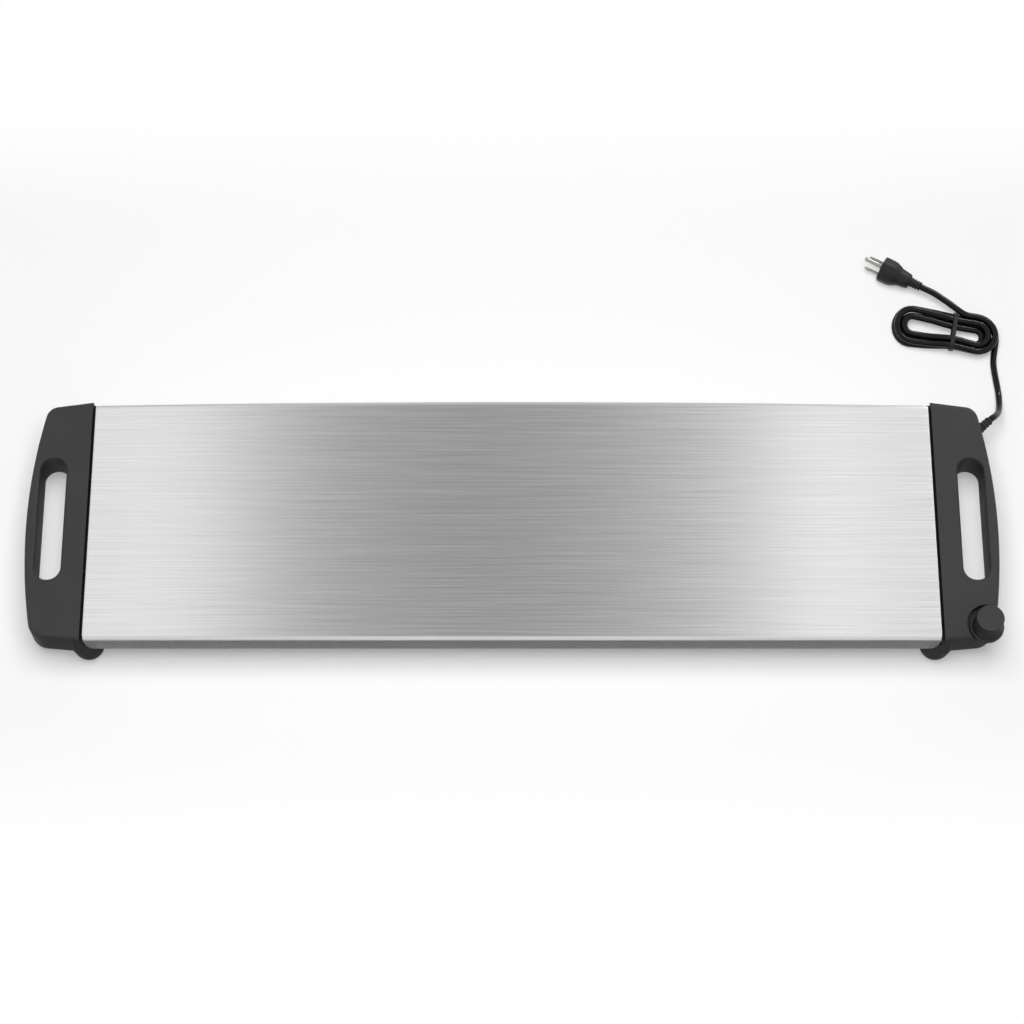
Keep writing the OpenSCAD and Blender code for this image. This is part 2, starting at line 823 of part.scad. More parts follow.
// Spindle: a round shaft with a flat for the knob
module spindle() {
    foot = stat_z + 3.5;
    flat_z = nut_z + nut_h + 1;
    color(brass)
    translate([knob_x, knob_y, 0])
    difference() {
        translate([0, 0, foot])
            cylinder(d = spindle_d, h = spindle_top - foot);
        translate([spindle_d / 2 - flat_cut, -spindle_d, flat_z])
            cube([spindle_d, 2 * spindle_d, spindle_top]);
    }
}

// Bezel: the round disc under the knob, standing out past the handle's corner
module knob_bezel() {
    r = bezel_d / 2;
    round_r = 1.2;
    color(moulded_black)
    translate([knob_x, knob_y, bezel_z])
    rotate_extrude()
    polygon(concat(
        [[bush_d / 2 + fit, 0], [r - 1, 0], [r, 1]],
        arc([r - round_r, bezel_t - round_r], round_r, 0, 90, 4),
        [[bush_d / 2 + fit, bezel_t]]));
}

// Knob: a tapered grip with fine ribs, hollow below, on a flatted bore
module knob() {
    foot_r = knob_d / 2;
    top_r = knob_top_d / 2;
    skirt = 2;
    chamfer = 0.8;
    floor_t = 6;
    points = 2 * knob_ribs;
    levels = [[0, foot_r, 0], [skirt, foot_r, 0], [skirt + 0.6, foot_r - 0.3, rib_depth],
        [knob_h - 2 * chamfer, top_r, rib_depth], [knob_h - chamfer, top_r, 0],
        [knob_h, top_r - chamfer, 0]];
    hub_r = spindle_d / 2 + 3;
    color(moulded_black)
    translate([knob_x, knob_y, knob_z])
    difference() {
        loft([for (lv = levels) [for (i = [0:points - 1])
            let (r = lv[1] - (i % 2) * lv[2], a = 360 * i / points) [r * cos(a), r * sin(a), lv[0]]]]);
        translate([0, 0, knob_h - 0.4])
            cylinder(r = top_r - 1.8, h = over);
        difference() {
            translate([0, 0, -over])
                cylinder(r = top_r - 2.2, h = knob_h - floor_t + over);
            translate([0, 0, nut_z + nut_h + 1.6 - knob_z])
                cylinder(r = hub_r, h = knob_h);
        }
        difference() {
            translate([0, 0, -over])
                cylinder(d = spindle_d + 2 * run_fit, h = spindle_top - knob_z + 0.5 + over);
            translate([spindle_d / 2 - flat_cut + clip_t + 2 * run_fit, -spindle_d, -over])
                cube([spindle_d, 2 * spindle_d, knob_h]);
        }
    }
}

// Spring clip between the spindle's flat and the knob's bore
module knob_clip() {
    w = 3;
    color(zinc)
    translate([knob_x + spindle_d / 2 - flat_cut + run_fit, knob_y - w / 2, nut_z + nut_h + 3])
        cube([clip_t, w, spindle_top - nut_z - nut_h - 4]);
}

// ---------- Mains entry and wiring ----------

block_x = slot_x - 10;
exit_turn = 42;
exit_at = [outer_x - 12, half_w - 21.4, 34.5];
exit_way = [cos(exit_turn), sin(exit_turn), 0];
block_y = (slot_shift + slot_l / 2 + handle_wall + exit_at[1]) / 2 - 1.3;
block_z = cover_z + cover_t + 0.5;
ways = 3;
way_step = block_l / ways;
way_z = block_z + block_h * 0.3;
function way_x(i) = block_x + (i - 1) * way_step;

// Terminal block: three ways with clamping screws
module terminal_block() {
    color(ceramic)
    difference() {
        union() {
            translate([block_x - block_l / 2, block_y - block_w / 2, block_z])
                cube([block_l, block_w, block_h * 0.6]);
            for (i = [0:ways - 1])
                translate([way_x(i) - way_step * 0.38, block_y - block_w * 0.38, block_z])
                    cube([way_step * 0.76, block_w * 0.76, block_h]);
        }
        for (i = [0:ways - 1]) {
            translate([way_x(i), block_y - block_w / 2 - over, way_z])
            rotate([-90, 0, 0])
                cylinder(d = wire_d + 2 * fit, h = block_w + 2 * over);
            translate([way_x(i), block_y, way_z])
                cylinder(d = wire_d + 0.6, h = block_h);
        }
    }
}

relief_in = 7;
relief_flange = 2;
relief_neck_d = 11;

// Axis of the cord's way out: +Z points out through the handle's rear outer side
module at_cord_exit() {
    translate(exit_at)
    rotate([0, 0, exit_turn])
    rotate([0, 90, 0])
        children();
}

// Strain relief: a flange inside, a neck through the wall and a ribbed taper outside
module strain_relief() {
    neck_r = relief_neck_d / 2;
    bore_r = cord_d / 2;
    tip_r = bore_r + 1.2;
    ribs = 4;
    step = (relief_l - 4) / ribs;
    color(rubber_black)
    at_cord_exit()
    rotate_extrude()
    polygon(concat(
        [[0, -relief_in], [neck_r + 1, -relief_in], [neck_r + 1, -relief_in + relief_flange],
         [neck_r, -relief_in + relief_flange], [neck_r, 2]],
        [for (i = [0:ribs - 1]) let (r = neck_r + (tip_r - neck_r) * (i + 0.5) / ribs)
            each [[r, 2 + i * step], [r, 2 + (i + 0.66) * step], [r - 0.9, 2 + (i + 0.7) * step],
                [r - 0.9, 2 + (i + 1) * step]]],
        [[tip_r, relief_l - 2], [tip_r, relief_l - 0.6], [tip_r - 0.6, relief_l], [0, relief_l]]));
}

// A tube swept along points, with upright rings of the given number of sides
function heading(p, i) = let (n = len(p),
        d = i == 0 ? p[1] - p[0] : i == n - 1 ? p[n - 1] - p[n - 2] : p[i + 1] - p[i - 1])
    d / norm(d);
function tube_ring(c, t, r, sides) = let (
        side = cross(t, [0, 0, 1]) / norm(cross(t, [0, 0, 1])),
        up = cross(side, t))
    [for (k = [0:sides - 1]) let (a = 360 * (k + 0.5) / sides) c + r * (side * cos(a) + up * sin(a))];
module tube(p, d, sides) {
    loft([for (i = [0:len(p) - 1]) tube_ring(p[i], heading(p, i), d / 2, sides)]);
}

// A smooth way through the given points, with steps rings to a stretch
function spline_at(a, b, c, d, u) = 0.5 * (2 * b + (c - a) * u + (2 * a - 5 * b + 4 * c - d) * u * u
    + (3 * b - a - 3 * c + d) * u * u * u);
function smooth_way(p, steps) = let (n = len(p)) concat(
    [for (i = [0:n - 2], k = [0:steps - 1]) spline_at(
        i == 0 ? 2 * p[0] - p[1] : p[i - 1], p[i], p[i + 1],
        i == n - 2 ? 2 * p[n - 1] - p[n - 2] : p[i + 2], k / steps)],
    [p[n - 1]]);

// Inner wires, from the terminal block along the handle to the thermostat and the casing
lane_x = slot_x - slot_w / 2 - handle_wall - wire_d / 2 - 3;
lane_step = wire_d + 1.5;
way_out_y = block_y - block_w / 2;
slot_end = slot_shift + slot_run / 2;
module wire(way, tone) {
    color(tone)
        tube(smooth_way(way, 2), wire_d, 6);
}

// One lane: out of a way, round the end of the slot and forward beside it, at height z
function lane(i, z) = [[way_x(i), way_out_y + 3, way_z], [way_x(i), way_out_y - 2, way_z],
    [way_x(i) - i * 2, way_out_y - 5, (way_z + z) / 2], [lane_x + 1 + i, slot_end + 16 + i, z],
    [lane_x, slot_end + 4, z], [lane_x, 0, z]];

module wire_live() {
    z = way_z - 1;
    end = [knob_x - stat_l * 0.52, knob_y + stat_w * 0.35 + 0.3, stat_z + stat_h / 2];
    wire(concat(lane(0, z), [[lane_x, knob_y + 34, z], [knob_x - 18, knob_y + 18, (z + end[2]) / 2],
        end + [0, 4, 0], end]), [0.45, 0.10, 0.08]);
}

module wire_neutral() {
    z = way_z - 1 + 2 * lane_step;
    y = lead_hole_y() + 2.6;
    end = [cutoff_x + cutoff_d / 2 + 6.2, cutoff_y, spreader_z - cutoff_h + 1.4];
    wire(concat(lane(2, z), [[lane_x, y + 20, z], [inner_x + 12, y + 2.4, screw_row_z()],
        [inner_x + 4, y, screw_row_z() + 1.5], [half_l - 6, y, screw_row_z() + 2],
        end + [6, 0, 0], end]), [0.85, 0.85, 0.82]);
}

module wire_earth() {
    z = way_z - 1 + lane_step;
    y = lead_hole_y() - 2.6;
    wire(concat(lane(1, z), [[lane_x, y + 20, z], [inner_x + 12, y + 1.6, screw_row_z() - 4],
        [inner_x + 4, y, screw_row_z() - 1.5], [half_l - 4, y, screw_row_z() - 2],
        [half_l - 7, y - 3.2, earth_z + 4], [half_l - 7, y - 5, earth_z + 2.8]]),
        [0.20, 0.48, 0.18]);
}

// Cores of the mains cord, fanned out from the strain relief to the terminal block
module cord_cores() {
    from = exit_at - (relief_in + run_fit) * exit_way;
    aside = 2.9 * [-sin(exit_turn), cos(exit_turn), 0];
    color([0.20, 0.20, 0.22])
    for (i = [0:ways - 1])
        tube([from + (1 - i) * aside, from + (1 - i) * aside - 3 * exit_way,
            [way_x(i) + 2, block_y + block_w / 2 + 4 + (2 - i) * 3.4, way_z + (2 - i) * 1.2],
            [way_x(i), block_y + block_w / 2 + 1.5, way_z], [way_x(i), block_y + block_w / 2 - 3, way_z]],
            wire_d - 0.6, 6);
}

earth_z = casing_z + sheet_t + fit + 1.2;
// Earth screw: fixes the earth wire's eyelet to the end bracket's flange
module earth_screw() {
    color(brass)
    translate([half_l - 7, lead_hole_y() - 12, earth_z]) {
        cylinder(d = head_d + 2, h = 0.8);
        cylinder(d = head_d, h = 0.8 + head_h);
    }
}

// ---------- Cord, hank and plug ----------

// Winding of the hank, in its own frame: x along it, y across, z = 0 the table
hank_at = [464, 239];     // middle of the hank on the table
hank_tilt = -11;          // its turn on the table
fold_x = 34;              // distance of a fold's centre from the middle
turn_r_in = 7.2;          // half width of the innermost turn
turn_step = 7.7;          // spacing of the turns
turns_in = 2;             // turns spiralling in on the table, and as many out on top
layer_h = 7.7;            // height of the upper layer above the lower
turn_rings = 24;          // rings in one turn: 6 to a fold and 6 to a run
waist_x = 10;             // where the tie draws the turns together
waist_in = 2.2;           // how far it draws them in
waist_up = 1.6;           // how far it lifts them off the table
turn_r_out = turn_r_in + turn_step * turns_in;

// Half width of the winding after s turns: in at a steady rate, then out again
function turn_r(s) = s < turns_in ? turn_r_out - turn_step * s
    : s < turns_in + 0.25 ? turn_r_in : turn_r_in + turn_step * (s - turns_in - 0.25);
function turn_z(s) = cord_d / 2 + 0.1 + layer_h * min(max((s - turns_in + 0.05) / 0.35, 0), 1);
// Ring k of the winding: right fold, far run, left fold, near run, right fold
function turn_xy(r, k) = k <= 3 ? spot([fold_x, 0], r, 30 * k)
    : k <= 9 ? [fold_x - (k - 3) * fold_x / 3, r]
    : k <= 15 ? spot([-fold_x, 0], r, 90 + 30 * (k - 9))
    : k <= 21 ? [-fold_x + (k - 15) * fold_x / 3, -r] : spot([fold_x, 0], r, 270 + 30 * (k - 21));
function at_waist(x) = exp(-pow((x - waist_x) / 20, 2));
// The far end of the hank lies looser, the near end closer
function spread(x) = 1.07 - 0.0018 * x;
function wind(i) = let (
        s = i / turn_rings,
        q = turn_xy(turn_r(s), i % turn_rings),
        y = q[1] * spread(q[0]),
        w = at_waist(q[0]))
    [q[0], y - sign(y) * waist_in * w * min(abs(y) / turn_r_in, 1), turn_z(s) + waist_up * w];
last_ring = turn_rings * (2 * turns_in) + 3;
hank_way = concat(
    [[fold_x + turn_r_out, -cord_d - 1, turn_z(0)]],
    [for (i = [0:last_ring]) wind(i)],
    [wind(last_ring) + [-cord_d - 1, 0, 0]]);

// From the hank's frame to the tray's
function placed(p) = [hank_at[0] + p[0] * cos(hank_tilt) - p[1] * sin(hank_tilt),
    hank_at[1] + p[0] * sin(hank_tilt) + p[1] * cos(hank_tilt), p[2]];

// Least gap of the winding to itself, measured between points four to a ring spacing
fine_way = [for (i = [0:len(hank_way) - 2], u = [0:0.25:0.75])
    hank_way[i] * (1 - u) + hank_way[i + 1] * u];
function gap_from(i) = min([for (j = [i + 40:1:len(fine_way) - 1]) norm(fine_way[i] - fine_way[j])]);
hank_gap = min([for (i = [0:len(fine_way) - 41]) gap_from(i)]) - cord_d;
echo(str("least gap of the hank to itself, mm: ", hank_gap));

module cord_hank() {
    color(cord_black)
        tube([for (p = hank_way) placed(p)], cord_d, 6);
}

// Route of the cord from the strain relief down to the table and round to the hank
relief_tip = exit_at + relief_l * exit_way;
hank_start = placed(hank_way[0]);
hank_end = placed(hank_way[len(hank_way) - 1]);
lead_way = [[508.3, 129.5, 29.3], [513.5, 138, 19.5], [516.8, 150, 10.8], [518, 164, 5.3], [517.2, 178, 3.7],
    [515.8, 191, 3.5], [515.3, 203, 3.5]];
module cord_lead() {
    color(cord_black)
        tube(concat([relief_tip, relief_tip + 4 * exit_way],
            smooth_way(lead_way, 1), [placed(hank_way[0] - [0, 8, 0]), hank_start]), cord_d, 10);
}

// Route of the cord from the hank to the plug
plug_turn = 151;          // heading of the plug on the table
plug_z = 13.5;
plug_start = [441, 289, plug_z];
tail_off = [[-4, 0, 0], [-8.5, 0.8, 0.8], [-16.2, 4.1, 2], [-24.2, 8.6, 2.3], [-34.2, 13.9, 2.1],
    [-43.7, 18.6, 2]];
tail_way = [for (p = tail_off) placed(hank_way[len(hank_way) - 1] + p)];
module cord_tail() {
    color(cord_black)
        tube(concat([hank_end], tail_way, [plug_start - 5 * [cos(plug_turn), sin(plug_turn), 0], plug_start]),
            cord_d, 10);
}

// Tie: a flat band drawn round the four outer strands of the hank's waist
tie_t = 1.3;
function strand(r, z) = [r * spread(waist_x) - waist_in, z + waist_up];
tie_at = let (
        low_z = turn_z(0),
        high_z = turn_z(2 * turns_in),
        a = strand(turn_r_out - 0.79 * turn_step, low_z),
        b = strand(turn_r_out - 0.21 * turn_step, low_z),
        c = strand(turn_r_in + 0.96 * turn_step, high_z),
        d = strand(turn_r_in + 1.54 * turn_step, high_z))
    [[-a[0], a[1]], b, c, [-d[0], d[1]]];
function out_of(a, b) = atan2(b[1] - a[1], b[0] - a[0]) - 90;
function tie_edge(r) = [for (i = [0:3]) let (
        a0 = out_of(tie_at[(i + 3) % 4], tie_at[i]),
        a1 = out_of(tie_at[i], tie_at[(i + 1) % 4]))
    each arc(tie_at[i], r, a0, a1 < a0 ? a1 + 360 : a1, 6)];
module cord_tie() {
    inner = cord_d / 2 + 0.3;
    color(rubber_black)
    translate([hank_at[0], hank_at[1], 0])
    rotate([0, 0, hank_tilt])
    translate([waist_x - tie_w / 2, 0, 0])
    rotate([90, 0, 90])
    linear_extrude(tie_w)
    difference() {
        polygon(tie_edge(inner + tie_t));
        polygon(tie_edge(inner));
    }
}

// Frame of the plug: +X points out of its face, z = 0 is its axis, rolled on its side
plug_roll = -15;
module at_plug() {
    translate(plug_start)
    rotate([0, 0, plug_turn])
    rotate([plug_roll, 0, 0])
        children();
}

// One section of the plug's body: wide below, drawn in to a ridge above
plug_half = [[0.3, -0.5], [0.42, -0.46], [0.5, -0.3], [0.5, 0.1], [0.4, 0.28], [0.2, 0.46], [0.08, 0.5]];
plug_edge = concat(plug_half, [for (i = [len(plug_half) - 1:-1:0]) [-plug_half[i][0], plug_half[i][1]]]);
function plug_section(x, w, h) = [for (p = plug_edge) [x, p[0] * w, p[1] * h]];

// Plug body: a moulded grip that narrows behind the face, then a ribbed strain relief
module plug_body() {
    rel = plug_relief_l;
    w = plug_w;
    h = plug_t;
    r = cord_d / 2 + 1.6;
    rib = plug_relief_l / 4;
    color(rubber_black)
    at_plug() {
        loft([for (s = [[0, 0.56, 0.56], [0.1, 0.62, 0.62], [0.22, 0.66, 0.64], [0.34, 0.7, 0.66],
            [0.46, 0.86, 0.84], [0.58, 0.97, 0.96], [0.7, 1, 1], [0.97, 1, 1], [1, 0.96, 0.95]])
            plug_section(rel + s[0] * plug_l, s[1] * w, s[2] * h)]);
        rotate([0, 90, 0])
            cylinder(r = r - 1, h = rel + 1);
        for (i = [0:3])
            translate([i * rib + (i == 0 ? 0.6 : 0), 0, 0])
            rotate([0, 90, 0])
                cylinder(r1 = r - 0.5 + 0.35 * i, r2 = r + 0.35 * i, h = rib * 0.62);
    }
}

plug_face = plug_relief_l + plug_l;
blade_l = 17;
blade_gap = 12.7;
blade_w = 6.35;
blade_t = 1.5;
pin_d = 4.8;
pin_l = 20;
pin_rise = 11.9;
prong_drop = -5;

// Two flat blades, each with the round hole near its tip
module plug_blades() {
    color(steel)
    at_plug()
    for (s = [-1, 1])
        translate([plug_face, s * blade_gap / 2, prong_drop])
        difference() {
            union() {
                translate([0, -blade_t / 2, -blade_w / 2])
                    cube([blade_l - 1.5, blade_t, blade_w]);
                translate([blade_l - 1.5, -blade_t / 2, -blade_w / 2 + 1])
                    cube([1.5, blade_t, blade_w - 2]);
            }
            translate([blade_l - 4, blade_t, 0])
            rotate([90, 0, 0])
                cylinder(d = 3.2, h = 2 * blade_t);
        }
}

// Round earth pin with a domed tip
module plug_ground_pin() {
    color(steel)
    at_plug()
    translate([plug_face, 0, prong_drop + pin_rise])
    rotate([0, 90, 0])
    rotate_extrude()
    polygon(concat([[0, 0], [pin_d / 2, 0], [pin_d / 2, pin_l - pin_d / 2]],
        arc([0, pin_l - pin_d / 2], pin_d / 2, 15, 90, 5)));
}

top_plate();
base_plate();
end_bracket(-1);  // end_bracket_left
end_bracket(1);  // end_bracket_right
heat_spreader();
heating_element();
element_clamps();
insulation_board();
thermal_cutoff();
handle_left();
handle_right();
handle_cover(-1);  // handle_cover_left
handle_cover(1);  // handle_cover_right
handle_screws();
cover_screws();
base_screws();
foot(-1, -1);  // foot_front_left
foot(1, -1);  // foot_front_right
foot(-1, 1);  // foot_rear_left
foot(1, 1);  // foot_rear_right
foot_screws();
thermostat_body();
thermostat_nut();
spindle();
knob_bezel();
knob();
knob_clip();
terminal_block();
cord_cores();
wire_live();
wire_neutral();
wire_earth();
earth_screw();
strain_relief();
cord_lead();
cord_hank();
cord_tie();
cord_tail();
plug_body();
plug_blades();
plug_ground_pin();
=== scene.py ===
import math

import bmesh
import bpy
from mathutils import Matrix, Vector


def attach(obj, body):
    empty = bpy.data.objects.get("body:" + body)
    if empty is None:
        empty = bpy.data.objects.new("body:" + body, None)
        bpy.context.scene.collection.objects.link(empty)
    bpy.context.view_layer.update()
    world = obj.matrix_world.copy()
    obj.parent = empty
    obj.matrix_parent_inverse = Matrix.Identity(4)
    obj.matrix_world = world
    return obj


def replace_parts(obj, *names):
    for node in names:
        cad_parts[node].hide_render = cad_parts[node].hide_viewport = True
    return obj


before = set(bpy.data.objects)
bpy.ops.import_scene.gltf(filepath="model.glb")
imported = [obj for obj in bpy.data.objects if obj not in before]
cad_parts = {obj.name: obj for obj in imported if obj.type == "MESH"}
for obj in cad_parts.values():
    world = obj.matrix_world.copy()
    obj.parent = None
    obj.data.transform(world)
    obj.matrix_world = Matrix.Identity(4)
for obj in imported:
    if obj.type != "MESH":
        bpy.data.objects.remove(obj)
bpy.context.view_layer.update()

# ---------- Camera ----------
# A long lens 2.8 m away that looks down at 68 degrees, so that the tray shows its top, a sliver of its
# front and both handles.
lens = bpy.data.cameras.new("studio_lens")
lens.lens, lens.sensor_width = 96.15, 36
lens.clip_start, lens.clip_end = 0.05, 60
camera = bpy.data.objects.new("studio_camera", lens)
camera.location = (0, -1.0418, 2.6588)
camera.rotation_euler = (math.radians(22), 0, 0)
bpy.context.collection.objects.link(camera)
bpy.context.scene.camera = camera

# ---------- Mains cord ----------
# One unbroken length of round PVC-sheathed cord. It leaves the right handle at its rear corner, drops to
# the table, winds in and out again as a flat hank of two layers, and runs on to the plug. Sizes are in
# millimetres from here on, turned to metres as each mesh is made.
CORD_D, CORD_SIDES = 6.8, 16
LYING_Z = CORD_D / 2 + 0.1
EXIT_TURN = math.radians(42)
EXIT_WAY = Vector((math.cos(EXIT_TURN), math.sin(EXIT_TURN), 0))
EXIT_AT = Vector((486, 108.6, 34.5))
RELIEF_L = 20
relief_tip = EXIT_AT + RELIEF_L * EXIT_WAY

HANK_TURN = Matrix.Translation((464, 239, 0)) @ Matrix.Rotation(math.radians(-11), 4, "Z")
FOLD_X = 34
TURN_IN, TURN_STEP, TURNS, LAYER = 7.2, 7.7, 2, 7.7
TURN_OUT = TURN_IN + TURN_STEP * TURNS
SPREAD, TAPER = 1.07, 0.0018
WAIST_X, WAIST_LONG, PINCH, HUMP = 10, 20, 2.2, 1.6


def wound(s):
    """The cord's middle after s turns, in the hank's own frame, drawn in and lifted where it is tied.

    A turn counts 24 parts, six to each fold and six to each straight run between the folds.
    """
    r = TURN_OUT - TURN_STEP * s if s < TURNS else TURN_IN + TURN_STEP * max(s - TURNS - 0.25, 0)
    k = 24 * s % 24
    if k <= 3:
        x, y = FOLD_X + r * math.cos(math.radians(30 * k)), r * math.sin(math.radians(30 * k))
    elif k <= 9:
        x, y = FOLD_X - (k - 3) * FOLD_X / 3, r
    elif k <= 15:
        a = math.radians(90 + 30 * (k - 9))
        x, y = -FOLD_X + r * math.cos(a), r * math.sin(a)
    elif k <= 21:
        x, y = -FOLD_X + (k - 15) * FOLD_X / 3, -r
    else:
        a = math.radians(270 + 30 * (k - 21))
        x, y = FOLD_X + r * math.cos(a), r * math.sin(a)
    y *= SPREAD - TAPER * x
    z = LYING_Z + LAYER * min(max((s - TURNS + 0.05) / 0.35, 0), 1)
    drawn = math.exp(-(((x - WAIST_X) / WAIST_LONG) ** 2))
    side = max(-1, min(1, y / TURN_IN))
    return Vector((x, y - side * PINCH * drawn, z + HUMP * drawn))


def smooth_way(points, step):
    """Evenly spaced points, about step apart, on a smooth curve through the given ones."""
    ends = [2 * points[0] - points[1], *points, 2 * points[-1] - points[-2]]
    fine, parts = [], 12
    for a, b, c, d in zip(ends, ends[1:], ends[2:], ends[3:]):
        ta, tb, tc = [max((q - p).length, 1e-6) ** 0.5 for p, q in ((a, b), (b, c), (c, d))]
        m = (c - b) + tb * ((b - a) / ta - (c - a) / (ta + tb))
        n = (c - b) + tb * ((d - c) / tc - (d - b) / (tb + tc))
        for i in range(parts):
            u = i / parts
            fine.append((2 * (b - c) + m + n) * u ** 3 + (3 * (c - b) - 2 * m - n) * u ** 2 + m * u + b)
    fine.append(points[-1].copy())
    reach = [0]
    for p, q in zip(fine, fine[1:]):
        reach.append(reach[-1] + (q - p).length)
    count = round(reach[-1] / step)
    even, j = [], 0
    for i in range(count):
        at = reach[-1] * i / count
        while reach[j + 1] < at:
            j += 1
        even.append(fine[j].lerp(fine[j + 1], (at - reach[j]) / (reach[j + 1] - reach[j])))
    return even + [fine[-1]]


wound_points = [wound(i / 48) for i in range(199)]
hank_in = [Vector((FOLD_X + TURN_OUT, y, LYING_Z)) for y in (-15.8, -7.8)]
hank_out = wound_points[-1] + Vector((-7.8, 0, 0))
tail_off = [(0, 0, 0), (-4, 0, 0), (-8.5, 0.8, 0.8), (-16.2, 4.1, 2), (-24.2, 8.6, 2.3), (-34.2, 13.9, 2.1),
            (-43.7, 18.6, 2)]
PLUG_TURN = math.radians(151)
PLUG_START = Vector((441, 289, 13.5))
plug_way = Vector((math.cos(PLUG_TURN), math.sin(PLUG_TURN), 0))
lead_points = [(508.3, 129.5, 29.3), (513.5, 138, 19.5), (516.8, 150, 10.8), (518, 164, 5.3),
               (517.2, 178, 3.7), (515.8, 191, 3.5), (515.3, 203, 3.5)]
cord_way = smooth_way(
    [relief_tip, relief_tip + 4 * EXIT_WAY]
    + [Vector(p) for p in lead_points]
    + [HANK_TURN @ p for p in hank_in + wound_points]
    + [HANK_TURN @ (hank_out + Vector(p)) for p in tail_off]
    + [PLUG_START - 5 * plug_way, PLUG_START], 1.5)


def linear(code):
    """A colour written as sRGB hex, as the linear one that Blender's sockets take."""
    parts = [int(code[i:i + 2], 16) / 255 for i in (1, 3, 5)]
    return (*[c / 12.92 if c <= 0.04045 else ((c + 0.055) / 1.055) ** 2.4 for c in parts], 1)


def add(tree, kind, settings=None, links=None):
    """A node with its settings, which are properties or unlinked sockets, and the links into it."""
    made = tree.nodes.new("ShaderNode" + kind)
    for name, value in (settings or {}).items():
        if isinstance(name, str) and hasattr(made, name):
            setattr(made, name, value)
        else:
            made.inputs[name].default_value = value
    for name, source in (links or {}).items():
        out = source.outputs[0] if isinstance(source, bpy.types.Node) else source
        tree.links.new(out, made.inputs[name])
    return made


def finish_of(name):
    """A new material by name, with nothing in its tree but the output."""
    made = bpy.data.materials.new(name)
    made.use_nodes = True
    made.node_tree.nodes.clear()
    made.node_tree.nodes.new("ShaderNodeOutputMaterial")
    return made, made.node_tree


def end_with(tree, shader):
    """Sends a shader to the material's output."""
    tree.links.new(shader.outputs[0], tree.nodes["Material Output"].inputs[0])


def made_of(name, work):
    """An object from a worked mesh, which is used up, with all its faces turned outward."""
    bmesh.ops.recalc_face_normals(work, faces=work.faces)
    mesh = bpy.data.meshes.new(name)
    work.to_mesh(mesh)
    work.free()
    made = bpy.data.objects.new(name, mesh)
    bpy.context.collection.objects.link(made)
    return made


def solid(points, faces, name="form"):
    """An object from points in millimetres, with no finish yet: a piece, or a form to add or cut."""
    rough = bpy.data.meshes.new("rough")
    rough.from_pydata([Vector(p) / 1000 for p in points], [], faces)
    work = bmesh.new()
    work.from_mesh(rough)
    bpy.data.meshes.remove(rough)
    return made_of(name, work)


def shape(name, points, faces, finish, slot, body="tray", crease=38):
    """A finished piece, smooth except at edges sharper than crease degrees."""
    piece = solid(points, faces, name)
    settle(piece, finish, slot, body, crease)
    return piece


def settle(piece, finish, slot, body="tray", crease=38):
    """Gives a piece its shading, its finish and the body that it rides on."""
    piece.data.shade_smooth()
    piece.data.set_sharp_from_angle(angle=math.radians(crease))
    piece.data.materials.clear()
    piece.data.materials.append(finish)
    if slot:
        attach(piece, body)


def stacked(rings, ends="capped"):
    """Points and faces through rings of equally many points, the ends capped, joined or left open."""
    n = len(rings[0])
    points = [p for ring in rings for p in ring]
    last = len(points) - n
    faces = [(k * n + i, k * n + (i + 1) % n, (k + 1) * n + (i + 1) % n, (k + 1) * n + i)
             for k in range(len(rings) - 1) for i in range(n)]
    if ends == "capped":
        faces += [tuple(range(n - 1, -1, -1)), tuple(range(last, len(points)))]
    if ends == "joined":
        faces += [(last + i, last + (i + 1) % n, (i + 1) % n, i) for i in range(n)]
    return points, faces


# Extruded PVC sheath: deep black with a narrow streak of light along the cord. The die leaves lines too
# fine to show, drawn here as a slight grain of 0.8 mm.
sheath_pvc, tree = finish_of("extruded_pvc_sheath")
where = add(tree, "TexCoord")
grain = add(tree, "TexNoise", {"Scale": 1250, "Detail": 3}, {"Vector": where.outputs["Object"]})
tone = add(tree, "ValToRGB", None, {"Fac": grain})
tone.color_ramp.elements[0].color = linear("#060606")
tone.color_ramp.elements[1].color = linear("#0d0d0e")
rough = add(tree, "MapRange", {"To Min": 0.12, "To Max": 0.2}, {"Value": grain})
bump = add(tree, "Bump", {"Strength": 0.2, "Distance": 0.00005}, {"Height": grain})
end_with(tree, add(tree, "BsdfPrincipled", {"IOR": 1.5, "Specular IOR Level": 0.2},
                   {"Base Color": tone, "Roughness": rough.outputs[0], "Normal": bump}))

side = Vector((0, 0, 1))
cord_rings = []
for i, p in enumerate(cord_way):
    way = (cord_way[min(i + 1, len(cord_way) - 1)] - cord_way[max(i - 1, 0)]).normalized()
    side = (side - side.dot(way) * way).normalized()
    other = way.cross(side)
    cord_rings.append([p + CORD_D / 2 * (math.cos(a) * side + math.sin(a) * other)
                       for a in [math.tau * k / CORD_SIDES for k in range(CORD_SIDES)]])
cord = shape("mains_cord", *stacked(cord_rings), sheath_pvc, "cord_sheath")
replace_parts(cord, "cord_lead", "cord_hank", "cord_tail")

# ---------- Strain relief ----------
# A moulded rubber sleeve with a flange inside the handle and soft ribs outside, which keeps the cord from
# kinking where it leaves.


def turned(profile, place, sides=48, ends="capped"):
    """A turned form: its profile of radius and height, swept about the Z axis of place."""
    return stacked([[place @ Vector((r * math.cos(a), r * math.sin(a), z))
                     for a in [math.tau * k / sides for k in range(sides)]]
                    for r, z in profile], ends)


